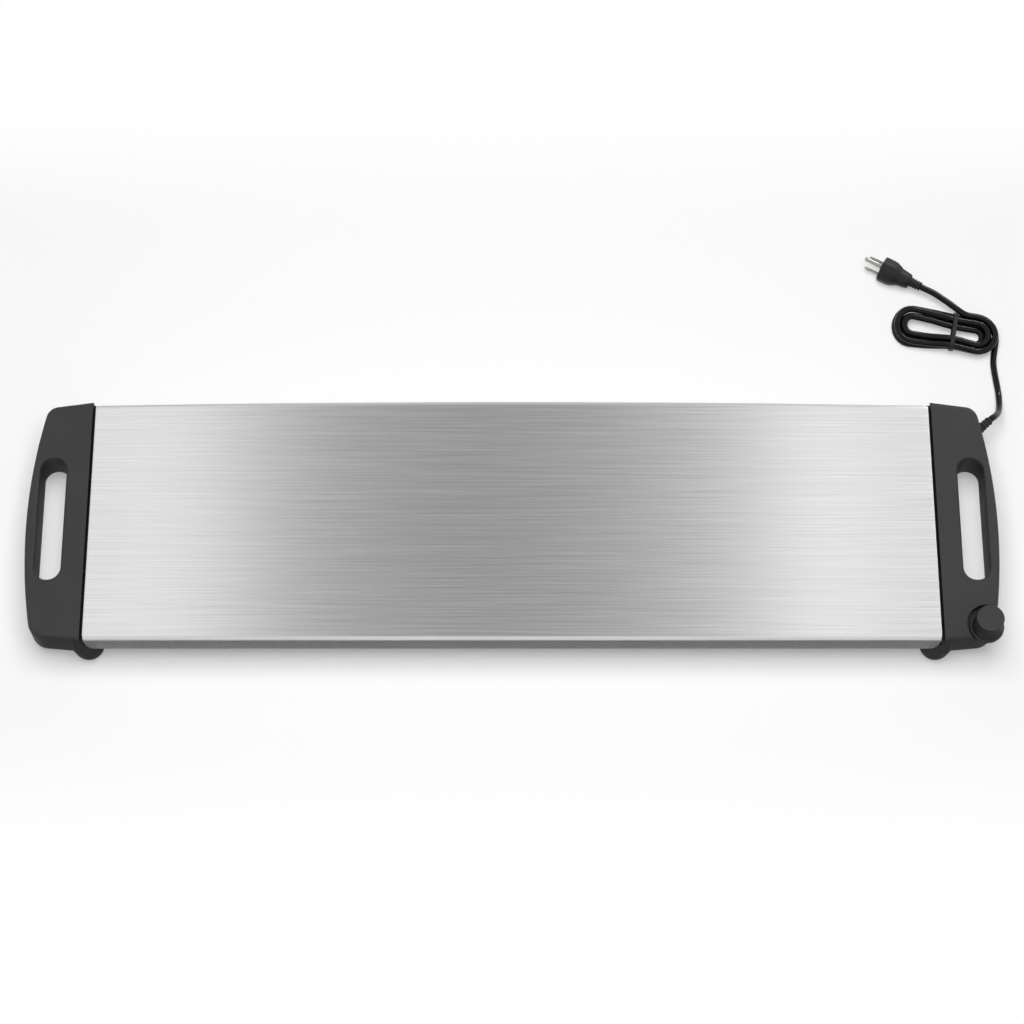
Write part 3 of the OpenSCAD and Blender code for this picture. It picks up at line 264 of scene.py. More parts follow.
# Moulded rubber: darker and duller than the sheath, with a bloom of 2 mm patches.
soft_rubber, tree = finish_of("moulded_rubber")
where = add(tree, "TexCoord")
bloom = add(tree, "TexNoise", {"Scale": 500, "Detail": 4}, {"Vector": where.outputs["Object"]})
tone = add(tree, "ValToRGB", None, {"Fac": bloom})
tone.color_ramp.elements[0].color = linear("#0a0a0a")
tone.color_ramp.elements[1].color = linear("#151515")
bump = add(tree, "Bump", {"Strength": 0.25, "Distance": 0.0001}, {"Height": bloom})
end_with(tree, add(tree, "BsdfPrincipled", {"Roughness": 0.5, "IOR": 1.52, "Specular IOR Level": 0.3},
                   {"Base Color": tone, "Normal": bump}))

NECK_R, TIP_R = 5.5, CORD_D / 2 + 1.2
FLANGE_R, FLANGE_IN, FLANGE_OUT = NECK_R + 1, -7, -5
RIBS, RIB_DEEP, RIB_STEPS = 4, 0.45, 32
ribs = []
for i in range(RIB_STEPS + 1):
    z = 2 + (RELIEF_L - 4) * i / RIB_STEPS
    r = NECK_R + (TIP_R - NECK_R) * i / RIB_STEPS
    ribs.append((r - RIB_DEEP + RIB_DEEP * math.cos(math.tau * RIBS * i / RIB_STEPS), z))
relief_profile = ([(0.2, FLANGE_IN), (FLANGE_R, FLANGE_IN), (FLANGE_R, FLANGE_OUT)]
                  + [(NECK_R, FLANGE_OUT), (NECK_R, 1.5)] + ribs
                  + [(TIP_R, RELIEF_L - 1.2), (TIP_R - 0.2, RELIEF_L - 0.4), (TIP_R - 0.7, RELIEF_L)]
                  + [(0.2, RELIEF_L)])
LAID_DOWN = Matrix.Rotation(math.radians(90), 4, "Y")
at_exit = Matrix.Translation(EXIT_AT) @ Matrix.Rotation(EXIT_TURN, 4, "Z") @ LAID_DOWN
relief = shape("strain_relief_sleeve", *turned(relief_profile, at_exit), soft_rubber, "cord_sheath")
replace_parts(relief, "strain_relief")

# ---------- Tie ----------
# A flat soft band of rubber drawn tight round the middle of the hank, with rounded edges. It is one
# closed loop over the outermost strands.
TIE_W, TIE_T, TIE_EDGE, TIE_R = 4.5, 1.3, 0.5, CORD_D / 2 + 0.95


def strand(r, z):
    """Where an outer strand passes through the tie, across the hank and up."""
    return Vector((r * (SPREAD - TAPER * WAIST_X) - PINCH, z + HUMP))


held = [strand(TURN_OUT - 0.79 * TURN_STEP, LYING_Z), strand(TURN_OUT - 0.21 * TURN_STEP, LYING_Z),
        strand(TURN_IN + 0.96 * TURN_STEP, LYING_Z + LAYER),
        strand(TURN_IN + 1.54 * TURN_STEP, LYING_Z + LAYER)]
held[0].x, held[3].x = -held[0].x, -held[3].x
tie_path = []
for i in range(4):
    before, here, after = held[i - 1], held[i], held[(i + 1) % 4]
    a0 = math.atan2(here.y - before.y, here.x - before.x) - math.pi / 2
    a1 = math.atan2(after.y - here.y, after.x - here.x) - math.pi / 2
    a1 += math.tau if a1 < a0 else 0
    for k in range(9):
        a = a0 + (a1 - a0) * k / 8
        out_y, out_z = math.cos(a), math.sin(a)
        tie_path.append((here.x + TIE_R * out_y, here.y + TIE_R * out_z, out_y, out_z))
tie_edge = []
for sx, st, a0 in ((1, 1, 0), (-1, 1, 90), (-1, -1, 180), (1, -1, 270)):
    for i in range(4):
        a = math.radians(a0 + 30 * i)
        tie_edge.append((sx * (TIE_W / 2 - TIE_EDGE) + TIE_EDGE * math.cos(a),
                         st * (TIE_T / 2 - TIE_EDGE) + TIE_EDGE * math.sin(a)))
tie_rings = [[HANK_TURN @ Vector((WAIST_X + w, y + t * ny, z + t * nz)) for w, t in tie_edge]
             for y, z, ny, nz in tie_path]
tie = shape("hank_tie", *stacked(tie_rings, ends="joined"), soft_rubber, "tie_band")
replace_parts(tie, "cord_tie")

# ---------- Plug ----------
# A moulded three-pin plug: a body drawn in behind its face for the fingers, rings of strain relief at
# the cord, two flat blades and a round earth pin.
PLUG_W, PLUG_T, PLUG_L, RINGS_L = 26, 23, 34, 13
at_plug = (Matrix.Translation(PLUG_START) @ Matrix.Rotation(PLUG_TURN, 4, "Z")
           @ Matrix.Rotation(math.radians(-15), 4, "X"))
half = [(0.3, -0.5), (0.42, -0.46), (0.5, -0.3), (0.5, 0.1), (0.4, 0.28), (0.2, 0.46), (0.08, 0.5)]
edge = half + [(-w, h) for w, h in reversed(half)]


def rounded_loop(points, fine):
    """A closed outline through the given points, with fine steps between each two."""
    made = []
    count = len(points)
    for i in range(count):
        a, b, c, d = [Vector(points[(i + k) % count]) for k in (-1, 0, 1, 2)]
        for k in range(fine):
            u = k / fine
            made.append(0.5 * (2 * b + (c - a) * u + (2 * a - 5 * b + 4 * c - d) * u * u
                               + (3 * b - a - 3 * c + d) * u ** 3))
    return made


section = [Vector((max(-0.5, min(0.5, q[0])), max(-0.5, min(0.5, q[1])))) for q in rounded_loop(edge, 4)]


def plug_ring(along, wide, thick):
    """The plug's outline at a share of its length, at shares of its full width and thickness."""
    return [at_plug @ Vector((RINGS_L + along * PLUG_L, q[0] * wide * PLUG_W, q[1] * thick * PLUG_T))
            for q in section]


stations = [(0, 0.5, 0.5), (0.02, 0.56, 0.56), (0.1, 0.62, 0.62), (0.22, 0.66, 0.64), (0.34, 0.7, 0.66),
            (0.46, 0.84, 0.82), (0.58, 0.96, 0.95), (0.7, 1, 1), (0.96, 1, 1), (0.985, 0.985, 0.98),
            (1, 0.94, 0.93)]
plug_rings = []
for j, (a, b) in enumerate(zip(stations, stations[1:])):
    for k in range(4):
        u = k / 4
        eased = u * u * (3 - 2 * u) if 1 < j < 8 else u
        wide, thick = [p + (q - p) * eased for p, q in zip(a[1:], b[1:])]
        plug_rings.append(plug_ring(a[0] + (b[0] - a[0]) * u, wide, thick))
plug_rings.append(plug_ring(*stations[-1]))
plug = shape("plug_grip", *stacked(plug_rings), soft_rubber, "cord_sheath")

RING_R, RING_DEEP, RINGS, RING_STEPS = CORD_D / 2 + 1.6, 0.9, 4, 52
ring_profile = [(0.2, 0)]
for i in range(RING_STEPS + 1):
    z = 0.3 + (RINGS_L + 0.4) * i / RING_STEPS
    bulge = max(0, math.sin(math.tau * (z - 0.3) / (RINGS_L / RINGS))) ** 0.5
    ring_profile.append((RING_R - RING_DEEP + 0.05 * z + RING_DEEP * bulge, z))
ring_profile.append((0.2, RINGS_L + 0.9))
collar = shape("plug_strain_rings", *turned(ring_profile, at_plug @ LAID_DOWN), soft_rubber, "cord_sheath",
               crease=60)
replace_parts(plug, "plug_body")
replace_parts(collar, "plug_body")

# Nickel-plated brass: bright and hard, with the faint draw lines of the strip, 0.5 mm apart.
plated_brass, tree = finish_of("nickel_plated_brass")
where = add(tree, "TexCoord")
drawn = add(tree, "Mapping", {"Rotation": (0, 0, -PLUG_TURN), "Scale": (150, 2000, 2000)},
            {"Vector": where.outputs["Object"]})
lines = add(tree, "TexNoise", {"Scale": 1, "Detail": 2}, {"Vector": drawn})
rough = add(tree, "MapRange", {"To Min": 0.16, "To Max": 0.3}, {"Value": lines})
end_with(tree, add(tree, "BsdfPrincipled", {"Base Color": linear("#a3a19c"), "Metallic": 1},
                   {"Roughness": rough.outputs[0]}))

# The blades are stamped from 1.5 mm strip, their tips chamfered, with the usual 3.2 mm hole.
FACE_X = RINGS_L + PLUG_L
BLADE_APART, BLADE_HALF_T, BLADE_DROP = 6.35, 0.75, 5
half_outline = [(0, -3.175), (14.6, -3.175), (16.2, -2.6), (17, -1.6)]
outline = half_outline + [(x, -z) for x, z in reversed(half_outline)]
hole = [(13 + 1.6 * math.cos(a), 1.6 * math.sin(a)) for a in [math.tau * k / 24 for k in range(24)]]
for name, middle in (("near", -BLADE_APART), ("far", BLADE_APART)):
    strip = bmesh.new()
    loops = []
    for t in (-BLADE_HALF_T, BLADE_HALF_T):
        for loop in (outline, hole):
            vs = [strip.verts.new(at_plug @ Vector((FACE_X + x, middle + t, z - BLADE_DROP)) / 1000)
                  for x, z in loop]
            loops.append([vs, [strip.edges.new((a, b)) for a, b in zip(vs, vs[1:] + vs[:1])]])
    for outer, inner in (loops[:2], loops[2:]):
        bmesh.ops.triangle_fill(strip, use_beauty=True, use_dissolve=False, edges=outer[1] + inner[1])
    for low, high in ((loops[0], loops[2]), (loops[1], loops[3])):
        a, b = low[0], high[0]
        for i in range(len(a)):
            strip.faces.new((a[i], a[(i + 1) % len(a)], b[(i + 1) % len(a)], b[i]))
    blade = made_of("plug_blade_" + name, strip)
    settle(blade, plated_brass, "plated_prong", crease=35)
    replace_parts(blade, "plug_blades")

PIN_R, PIN_STRAIGHT, PIN_RISE = 2.4, 17.6, 6.9
pin_profile = ([(0.1, 0), (PIN_R - 0.1, 0), (PIN_R, 0.2), (PIN_R, PIN_STRAIGHT)]
               + [(PIN_R * math.cos(a), PIN_STRAIGHT + PIN_R * math.sin(a))
                  for a in [math.radians(9 * k) for k in range(1, 10)]]
               + [(0.1, PIN_STRAIGHT + PIN_R)])
at_pin = at_plug @ Matrix.Translation((FACE_X, 0, PIN_RISE)) @ LAID_DOWN
pin = shape("plug_earth_pin", *turned(pin_profile, at_pin, 32), plated_brass, "plated_prong")
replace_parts(pin, "plug_ground_pin")

# ---------- Hot plate ----------
# One sheet of 1 mm stainless steel, folded down at front and rear with a 5 mm bend and hemmed in below.
# Its rear edge bows gently and its ends are eased down by 0.8 mm. It is brushed along its length
# and lies 0.4 mm clear of both handles.
HALF_L, HALF_W, PLATE_Z, CASING_Z = 434, 130, 58, 31
FOLD_R, SHEET, HEM, END_R = 5, 1, 10, 1.4
REAR_BOW, CORNER_R, FLAT_IN = 4.5, 3, 40


def bent(cy, r, a0, a1, steps=12):
    """Points on one of the sheet's bends, about its middle at cy, from a0 to a1 degrees."""
    turns = [math.radians(a0 + (a1 - a0) * i / steps) for i in range(steps + 1)]
    return [(cy + r * math.cos(a), PLATE_Z - FOLD_R + r * math.sin(a)) for a in turns]


def plate_section(x):
    """The folded sheet cut across at x: its outer face from hem to hem, then its inner face back."""
    near_end = max(0, abs(x) - (HALF_L - END_R)) / END_R
    drop = END_R * 0.7 * (1 - math.sqrt(1 - 0.96 * near_end ** 2))
    rear = HALF_W + REAR_BOW * (1 - (x / HALF_L) ** 2)
    into = max(0, abs(x) - (HALF_L - CORNER_R)) / CORNER_R
    front = -HALF_W + CORNER_R * (1 - math.sqrt(max(0, 1 - into * into)))
    outer = ([(-HALF_W + HEM, CASING_Z), (front + 0.6, CASING_Z), (front, CASING_Z + 0.6)]
             + bent(front + FOLD_R, FOLD_R, 180, 90)
             + [(front + FLAT_IN, PLATE_Z), (0, PLATE_Z), (rear - FLAT_IN, PLATE_Z)]
             + bent(rear - FOLD_R, FOLD_R, 90, 0)
             + [(rear, CASING_Z + 0.6), (rear - 0.6, CASING_Z), (HALF_W - HEM, CASING_Z)])
    inner = ([(HALF_W - HEM, CASING_Z + SHEET), (rear - SHEET, CASING_Z + SHEET)]
             + bent(rear - FOLD_R, FOLD_R - SHEET, 0, 90)
             + bent(front + FOLD_R, FOLD_R - SHEET, 90, 180)
             + [(front + SHEET, CASING_Z + SHEET), (-HALF_W + HEM, CASING_Z + SHEET)])
    return [[(y, z - drop * max(0, min(1, (z - CASING_Z - 2) / 10))) for y, z in run]
            for run in (outer, inner)]


# The sheet is cut finely near its ends, where its edge is eased, and every 20 mm between them.
half_cuts = [434, 433.9, 433.7, 433.4, 433, 432.6, 431.5, 430, 425]
cuts = [-x for x in half_cuts] + [-410 + 20 * i for i in range(42)] + half_cuts[::-1]
plate_rings = []
for x in cuts:
    outer, inner = plate_section(x)
    plate_rings.append([(x, y, z) for y, z in outer + inner])
n_outer, n_inner = len(outer), len(inner)
n = n_outer + n_inner
points, faces = stacked(plate_rings, ends="open")
# The cut edge of the sheet, from its outer face to its inner one, closes each end.
step = (n_outer - 1) / (n_inner - 1)
pairs = [round(i * step) for i in range(n_inner)]
for base in (0, len(points) - n):
    back = [base + n - 1 - i for i in range(n_inner)]
    for i in range(n_inner - 1):
        faces.append([base + k for k in range(pairs[i], pairs[i + 1] + 1)] + [back[i + 1], back[i]])

# Stainless steel, belt-brushed along X: a pale metal whose highlight spreads front to rear. The real
# scratches are 0.1 mm wide; they are drawn 0.9 mm wide and 125 mm long, in broader bands of 6 mm, so
# that they show.
brushed_steel, tree = finish_of("brushed_stainless_steel")
where = add(tree, "TexCoord")
long_way = add(tree, "Mapping", {"Scale": (8, 1100, 1100)}, {"Vector": where.outputs["Object"]})
scratch = add(tree, "TexNoise", {"Scale": 1, "Detail": 1}, {"Vector": long_way})
broad_way = add(tree, "Mapping", {"Scale": (4, 170, 170)}, {"Vector": where.outputs["Object"]})
broad = add(tree, "TexNoise", {"Scale": 1, "Detail": 2}, {"Vector": broad_way})
both = add(tree, "Mix", {"data_type": "FLOAT", "Factor": 0.15}, {2: scratch, 3: broad})
tone = add(tree, "ValToRGB", None, {"Fac": both})
tone.color_ramp.elements[0].position, tone.color_ramp.elements[0].color = 0.3, linear("#c8c8c9")
tone.color_ramp.elements[1].position, tone.color_ramp.elements[1].color = 0.7, linear("#d7d7d8")
rough = add(tree, "MapRange", {"From Min": 0.3, "From Max": 0.7, "To Min": 0.24, "To Max": 0.27},
            {"Value": both})
bump = add(tree, "Bump", {"Strength": 0.02, "Distance": 0.00003}, {"Height": scratch})
grain_way = add(tree, "Tangent", {"direction_type": "UV_MAP", "uv_map": "grain"})
end_with(tree, add(tree, "BsdfPrincipled", {"Metallic": 1, "Anisotropic": 0.9, "Anisotropic Rotation": 0.25},
                   {"Base Color": tone, "Roughness": rough.outputs[0], "Normal": bump, "Tangent": grain_way}))
plate = shape("brushed_plate", points, faces, brushed_steel, "brushed_plate", crease=40)
grain_map = plate.data.uv_layers.new(name="grain")
for loop in plate.data.loops:
    x, y, z = plate.data.vertices[loop.vertex_index].co
    grain_map.data[loop.index].uv = (x + 0.5, y + z + 0.5)
plate.modifiers.new("even_shading", "WEIGHTED_NORMAL").keep_sharp = True
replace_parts(plate, "top_plate")

# ---------- Handles ----------
# Two moulded shells with a bowed outer side, a hand slot with a rolled rim and a leg at each end. The
# right one also carries the knob in a round well. Each is screwed to the casing's end from inside. A
# narrow groove beside the plate shows as a dark line.
IN_X, OUT_X, TOP_Z, FOOT_Z, WALL = 434.4, 498, 60, 22, 3
REAR_Y, REAR_SLANT, REAR_R = 133, 8, 14
FRONT_Y, FRONT_SLANT, FRONT_R = -130.6, 4.5, 18
BOW_R, BOW_SHIFT, TOP_FILLET, LOW_FILLET = 594, 8.7, 5, 2
SLOT_X, SLOT_REAR, SLOT_FRONT, SLOT_R, SLOT_RIM = 473, 54.5, -51.5, 13.5, 3
LEG_X, LEG_Y, LEG_R = 432.7, 119, 16
LAP_X, LAP_Y, LAP_Z, GROOVE, GROOVE_DEEP = 413.4, 130.25, 29.95, 1.8, 12
KNOB_X, KNOB_Y, WELL_R, BEZEL_Z, SPINDLE_HOLE = 480, -113.5, 21, 50, 5


def on_circle(centre, r, a0, a1, steps):
    """Points on a circle from a0 to a1 degrees."""
    turns = [math.radians(a0 + (a1 - a0) * i / steps) for i in range(steps + 1)]
    return [(centre[0] + r * math.cos(a), centre[1] + r * math.sin(a)) for a in turns]


def handle_outline(k, inner=0.0):
    """Plan of the right handle, drawn in by k on its free sides and by inner at the casing."""
    bow_c = (OUT_X - BOW_R, -BOW_SHIFT)
    turns = []
    for a, r, point in ((90 - REAR_SLANT, REAR_R, (IN_X, REAR_Y)),
                        (FRONT_SLANT - 90, FRONT_R, (IN_X, FRONT_Y))):
        nx, ny = math.cos(math.radians(a)), math.sin(math.radians(a))
        gap = nx * point[0] + ny * point[1] - r - nx * bow_c[0] - ny * bow_c[1]
        turn = a - math.copysign(1, a) * math.degrees(math.acos(gap / (BOW_R - r)))
        turns.append((turn, on_circle(bow_c, BOW_R - r, turn, turn, 1)[0]))
    (rear_turn, rear_c), (front_turn, front_c) = turns
    front_y = FRONT_Y + k / math.cos(math.radians(FRONT_SLANT)) + inner * math.tan(math.radians(FRONT_SLANT))
    rear_y = REAR_Y - k / math.cos(math.radians(REAR_SLANT)) - inner * math.tan(math.radians(REAR_SLANT))
    return ([(IN_X + inner, front_y)] + on_circle(front_c, FRONT_R - k, FRONT_SLANT - 90, front_turn, 16)
            + on_circle(bow_c, BOW_R - k, front_turn, rear_turn, 40)[1:-1]
            + on_circle(rear_c, REAR_R - k, rear_turn, 90 - REAR_SLANT, 14) + [(IN_X + inner, rear_y)])


def worked(body, tool, how):
    """The body with a form added or cut away; the form is used up."""
    step = body.modifiers.new("work", "BOOLEAN")
    step.operation, step.solver, step.object = how, "EXACT", tool
    bpy.context.view_layer.update()
    mesh = bpy.data.meshes.new_from_object(body.evaluated_get(bpy.context.evaluated_depsgraph_get()))
    body.modifiers.clear()
    body.data = mesh
    bpy.data.objects.remove(tool)
    return body


def drum(place, z0, z1, r, sides=64):
    """A round form from z0 to z1 about the Z axis of place."""
    return solid(*turned([(r, z0), (r, z1)], place, sides))


def upright(plan, z0, z1):
    """A form with the same plan from z0 to z1."""
    return solid(*stacked([[(x, y, z) for x, y in plan] for z in (z0, z1)]))


def slot_form(r, rim, z0, z1):
    """The hand slot: straight-sided with round ends, its rim rolled over at the top."""
    levels = [(r, z0)]
    if rim:
        levels += [(r + rim - rim * math.cos(a), TOP_Z - rim + rim * math.sin(a))
                   for a in [math.radians(9 * i) for i in range(11)]]
    levels.append((levels[-1][0], z1))
    return solid(*stacked([[(x, y, z) for x, y in on_circle((SLOT_X, SLOT_REAR), q, 0, 180, 32)
                            + on_circle((SLOT_X, SLOT_FRONT), q, 180, 360, 32)] for q, z in levels]))


def leg_form(end):
    """A leg, at the front end (-1) or the rear one: a hull over discs that lean up into the handle."""
    face = -FRONT_Y if end < 0 else REAR_Y
    toe = LEG_Y + LEG_R - 9
    work = bmesh.new()
    for x, y, z, r in ((LEG_X, LEG_Y, 8, 14.5), (LEG_X, LEG_Y, 8.8, 15.3), (LEG_X, LEG_Y, 12, LEG_R),
                       (LEG_X, LEG_Y, 19, LEG_R), (438.7, toe, CASING_Z, 9), (438.7, toe, CASING_Z + 2, 9),
                       (440.4, face - 6, 50, 6), (440.4, face - 6, 53, 6)):
        for px, py in on_circle((x, end * y), r, 0, 360, 48)[:-1]:
            work.verts.new((px / 1000, py / 1000, z / 1000))
    hull = bmesh.ops.convex_hull(work, input=work.verts)
    inside = [v for v in hull["geom_interior"] if isinstance(v, bmesh.types.BMVert)]
    bmesh.ops.delete(work, geom=inside, context="VERTS")
    return made_of("form", work)


def handle(name, right):
    """One shell, made as the right one and mirrored for the left, which has no knob and no cord."""
    eased_low = [(LOW_FILLET * (1 - math.sin(a)), LOW_FILLET * (1 - math.cos(a)))
                 for a in [math.radians(22.5 * i) for i in range(5)]]
    eased_top = [(TOP_FILLET * (1 - math.cos(a)), TOP_Z - TOP_FILLET * (1 - math.sin(a)))
                 for a in [math.radians(9 * i) for i in range(11)]]
    rings = [[(x, y, FOOT_Z + 2.5 * (x - IN_X) / (OUT_X - IN_X) + up) for x, y in handle_outline(k)]
             for k, up in eased_low]
    rings += [[(x, y, z) for x, y in handle_outline(k)] for k, z in eased_top]
    body = solid(*stacked(rings))
    for end in (-1, 1):
        worked(body, leg_form(end), "UNION")

    above = TOP_Z + 10
    at_knob = Matrix.Translation((KNOB_X, KNOB_Y, 0))
    hollow = upright(handle_outline(WALL, WALL), 20, TOP_Z - WALL)
    worked(hollow, slot_form(SLOT_R + WALL, 0, 10, above), "DIFFERENCE")
    for end in (-1, 1):
        worked(hollow, drum(Matrix.Translation((LEG_X, end * LEG_Y, 0)), 0, above, LEG_R), "DIFFERENCE")
    if right:
        worked(hollow, drum(at_knob, BEZEL_Z - WALL, above, WELL_R + WALL), "DIFFERENCE")

    lap = upright([(LAP_X, -LAP_Y), (IN_X, -LAP_Y), (IN_X, LAP_Y), (LAP_X, LAP_Y)], LAP_Z, above)
    groove = upright([(433, -140), (IN_X + GROOVE, -140), (IN_X + GROOVE, 140), (433, 140)],
                     TOP_Z - GROOVE_DEEP, above)
    taken = [hollow, lap, groove, slot_form(SLOT_R, SLOT_RIM, -5, 65)]
    if right:
        taken += [drum(at_knob, BEZEL_Z, above, WELL_R), drum(at_knob, 40, above, SPINDLE_HOLE),
                  drum(at_exit, -8, 5, NECK_R + 0.05, 48),
                  drum(at_exit, -11, FLANGE_OUT + 0.25, FLANGE_R + 0.25, 48)]
    for form in taken:
        worked(body, form, "DIFFERENCE")
    body.name = name
    if not right:
        body.data.transform(Matrix.Scale(-1, 4, (1, 0, 0)))
        body.data.flip_normals()
    settle(body, moulded_pbt, "moulded_black", crease=32)
    body.modifiers.new("even_shading", "WEIGHTED_NORMAL").keep_sharp = True
    return body


# Glass-filled PBT, moulded in a finely sparked tool: charcoal black with a dry, even grain over faint
# flow marks of 45 mm. The grain is 0.1 mm in the tool and drawn at 0.7 mm.
moulded_pbt, tree = finish_of("sparked_black_pbt")
where = add(tree, "TexCoord")
spark = add(tree, "TexNoise", {"Scale": 1400, "Detail": 3, "Roughness": 0.65},
            {"Vector": where.outputs["Object"]})
flow = add(tree, "TexNoise", {"Scale": 22, "Detail": 3}, {"Vector": where.outputs["Object"]})
both = add(tree, "Mix", {"data_type": "FLOAT", "Factor": 0.4}, {2: spark, 3: flow})
tone = add(tree, "ValToRGB", None, {"Fac": both})
tone.color_ramp.elements[0].position, tone.color_ramp.elements[0].color = 0.3, linear("#282829")
tone.color_ramp.elements[1].position, tone.color_ramp.elements[1].color = 0.7, linear("#313132")
rough = add(tree, "MapRange", {"From Min": 0.3, "From Max": 0.7, "To Min": 0.5, "To Max": 0.62},
            {"Value": spark})
bump = add(tree, "Bump", {"Strength": 0.22, "Distance": 0.00006}, {"Height": spark})
end_with(tree, add(tree, "BsdfPrincipled", {"IOR": 1.5, "Specular IOR Level": 0.28},
                   {"Base Color": tone, "Roughness": rough.outputs[0], "Normal": bump}))
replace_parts(handle("handle_shell_right", True), "handle_right")
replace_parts(handle("handle_shell_left", False), "handle_left")

# ---------- Handle covers ----------
# Moulded plates that close the handles from below, of the same plastic as the shells. Three screws hold
# each one. They keep the shape of their solids.


def dress(finish, *nodes):
    """Gives a finish to solids that keep their shape."""
    for name in nodes:
        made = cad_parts[name]
        if not made.material_slots:
            made.data.materials.append(finish)
        for place in made.material_slots:
            place.material = finish


dress(moulded_pbt, "handle_cover_left", "handle_cover_right")

# ---------- Knob and bezel ----------
# A tapered grip with 48 fine ribs and a plain cap, which turns on the thermostat's spindle over a round
# bezel. Both are moulded nylon.

# Nylon, moulded in a plainer tool than the handles: the same black, a little smoother, so that the cap
# has a soft sheen. Its grain is drawn at 0.6 mm.
knob_pp, tree = finish_of("moulded_knob_nylon")
where = add(tree, "TexCoord")
fine = add(tree, "TexNoise", {"Scale": 1600, "Detail": 2}, {"Vector": where.outputs["Object"]})
tone = add(tree, "ValToRGB", None, {"Fac": fine})
tone.color_ramp.elements[0].color = linear("#202021")
tone.color_ramp.elements[1].color = linear("#2b2b2d")
rough = add(tree, "MapRange", {"To Min": 0.44, "To Max": 0.54}, {"Value": fine})
bump = add(tree, "Bump", {"Strength": 0.15, "Distance": 0.00005}, {"Height": fine})
end_with(tree, add(tree, "BsdfPrincipled", {"IOR": 1.52, "Specular IOR Level": 0.35},
                   {"Base Color": tone, "Roughness": rough.outputs[0], "Normal": bump}))

# Each level of the knob has a radius, a height and the depth of the ribs there, from the inside of the
# cap down, round the lower edge and up again to the top.
KNOB_Z, KNOB_H, KNOB_RIBS = 54.5, 23.5, 48
knob_levels = [(0.3, 16, 0), (11.5, 16, 0), (12, 15.5, 0), (12, 0, 0),
               (15.2, 0, 0), (15.5, 0.3, 0), (15.5, 1.8, 0), (15.2, 2.3, 0.25), (15.15, 2.8, 0.5),
               (14.05, KNOB_H - 2, 0.5), (14, KNOB_H - 1.4, 0.25), (14, KNOB_H - 1, 0),
               (13.85, KNOB_H - 0.45, 0), (13.5, KNOB_H - 0.1, 0), (13.1, KNOB_H, 0),
               (12.5, KNOB_H, 0), (12.2, KNOB_H - 0.15, 0),
               (12, KNOB_H - 0.4, 0), (6, KNOB_H - 0.4, 0), (0.3, KNOB_H - 0.4, 0)]
steps = KNOB_RIBS * 6
knob_rings = []
for r, z, deep in knob_levels:
    ring = []
    for i in range(steps):
        a = math.tau * i / steps
        q = r - deep * (0.5 - 0.5 * math.cos(a * KNOB_RIBS))
        ring.append((KNOB_X + q * math.cos(a), KNOB_Y + q * math.sin(a), KNOB_Z + z))
    knob_rings.append(ring)
knob = shape("ribbed_knob", *stacked(knob_rings), knob_pp, "knob_black", "knob_turning", crease=50)
at_knob = Matrix.Translation((KNOB_X, KNOB_Y, 0))
worked(knob, drum(at_knob, KNOB_Z + 4, KNOB_Z + 17.5, 3.1), "DIFFERENCE")
settle(knob, knob_pp, None, crease=50)
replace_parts(knob, "knob")

BEZEL_R, BEZEL_TOP, BEZEL_EDGE = 17.5, 54, 1.2
bezel_profile = ([(SPINDLE_HOLE, BEZEL_Z), (BEZEL_R - 1, BEZEL_Z), (BEZEL_R, BEZEL_Z + 1)]
                 + [(BEZEL_R - BEZEL_EDGE * (1 - math.cos(a)), BEZEL_TOP - BEZEL_EDGE * (1 - math.sin(a)))
                    for a in [math.radians(10 * i) for i in range(10)]]
                 + [(SPINDLE_HOLE, BEZEL_TOP)])
bezel = shape("knob_bezel_ring", *turned(bezel_profile, at_knob, 96, ends="joined"), knob_pp, "knob_black")
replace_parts(bezel, "knob_bezel")

# ---------- Feet ----------
# Moulded rubber pads with a domed sole, which keep the tray from sliding. Each is pushed into a leg and
# held by a screw in a pocket.
dress(soft_rubber, "foot_front_left", "foot_front_right", "foot_rear_left", "foot_rear_right")

# ---------- Underside and brackets ----------
# A pressed base plate with vents, the two folded end brackets that carry the handles, and the saddles
# over the heating element, all of thin galvanised sheet.

# Hot-dip galvanised steel: a cold grey with flat crystals, the spangle, 6 to 10 mm across.
galvanised, tree = finish_of("hot_dip_galvanised_sheet")
where = add(tree, "TexCoord")
spangle = add(tree, "TexVoronoi", {"Scale": 130}, {"Vector": where.outputs["Object"]})
tone = add(tree, "ValToRGB", None, {"Fac": spangle.outputs["Color"]})
tone.color_ramp.elements[0].color = linear("#9aa0a3")
tone.color_ramp.elements[1].color = linear("#c2c6c8")
rough = add(tree, "MapRange", {"To Min": 0.32, "To Max": 0.5}, {"Value": spangle.outputs["Color"]})
end_with(tree, add(tree, "BsdfPrincipled", {"Metallic": 1},
                   {"Base Color": tone, "Roughness": rough.outputs[0]}))
dress(galvanised, "base_plate", "end_bracket_left", "end_bracket_right", "element_clamps")

# ---------- Screws, nut and clip ----------
# Pan-head screws of cold-formed steel hold handles, covers, base and feet. The nut fixes the
# thermostat, and the spring clip grips the knob on its spindle.

# Zinc-plated steel: bright with a faint bluish passivation that varies over 3 mm.
zinc_plate, tree = finish_of("zinc_plated_steel")
where = add(tree, "TexCoord")
tint = add(tree, "TexNoise", {"Scale": 330, "Detail": 2}, {"Vector": where.outputs["Object"]})
tone = add(tree, "ValToRGB", None, {"Fac": tint})
tone.color_ramp.elements[0].color = linear("#b4b8c0")
tone.color_ramp.elements[1].color = linear("#cfcfca")
end_with(tree, add(tree, "BsdfPrincipled", {"Metallic": 1, "Roughness": 0.34}, {"Base Color": tone}))
dress(zinc_plate, "handle_screws", "cover_screws", "base_screws", "foot_screws", "thermostat_nut",
      "knob_clip")

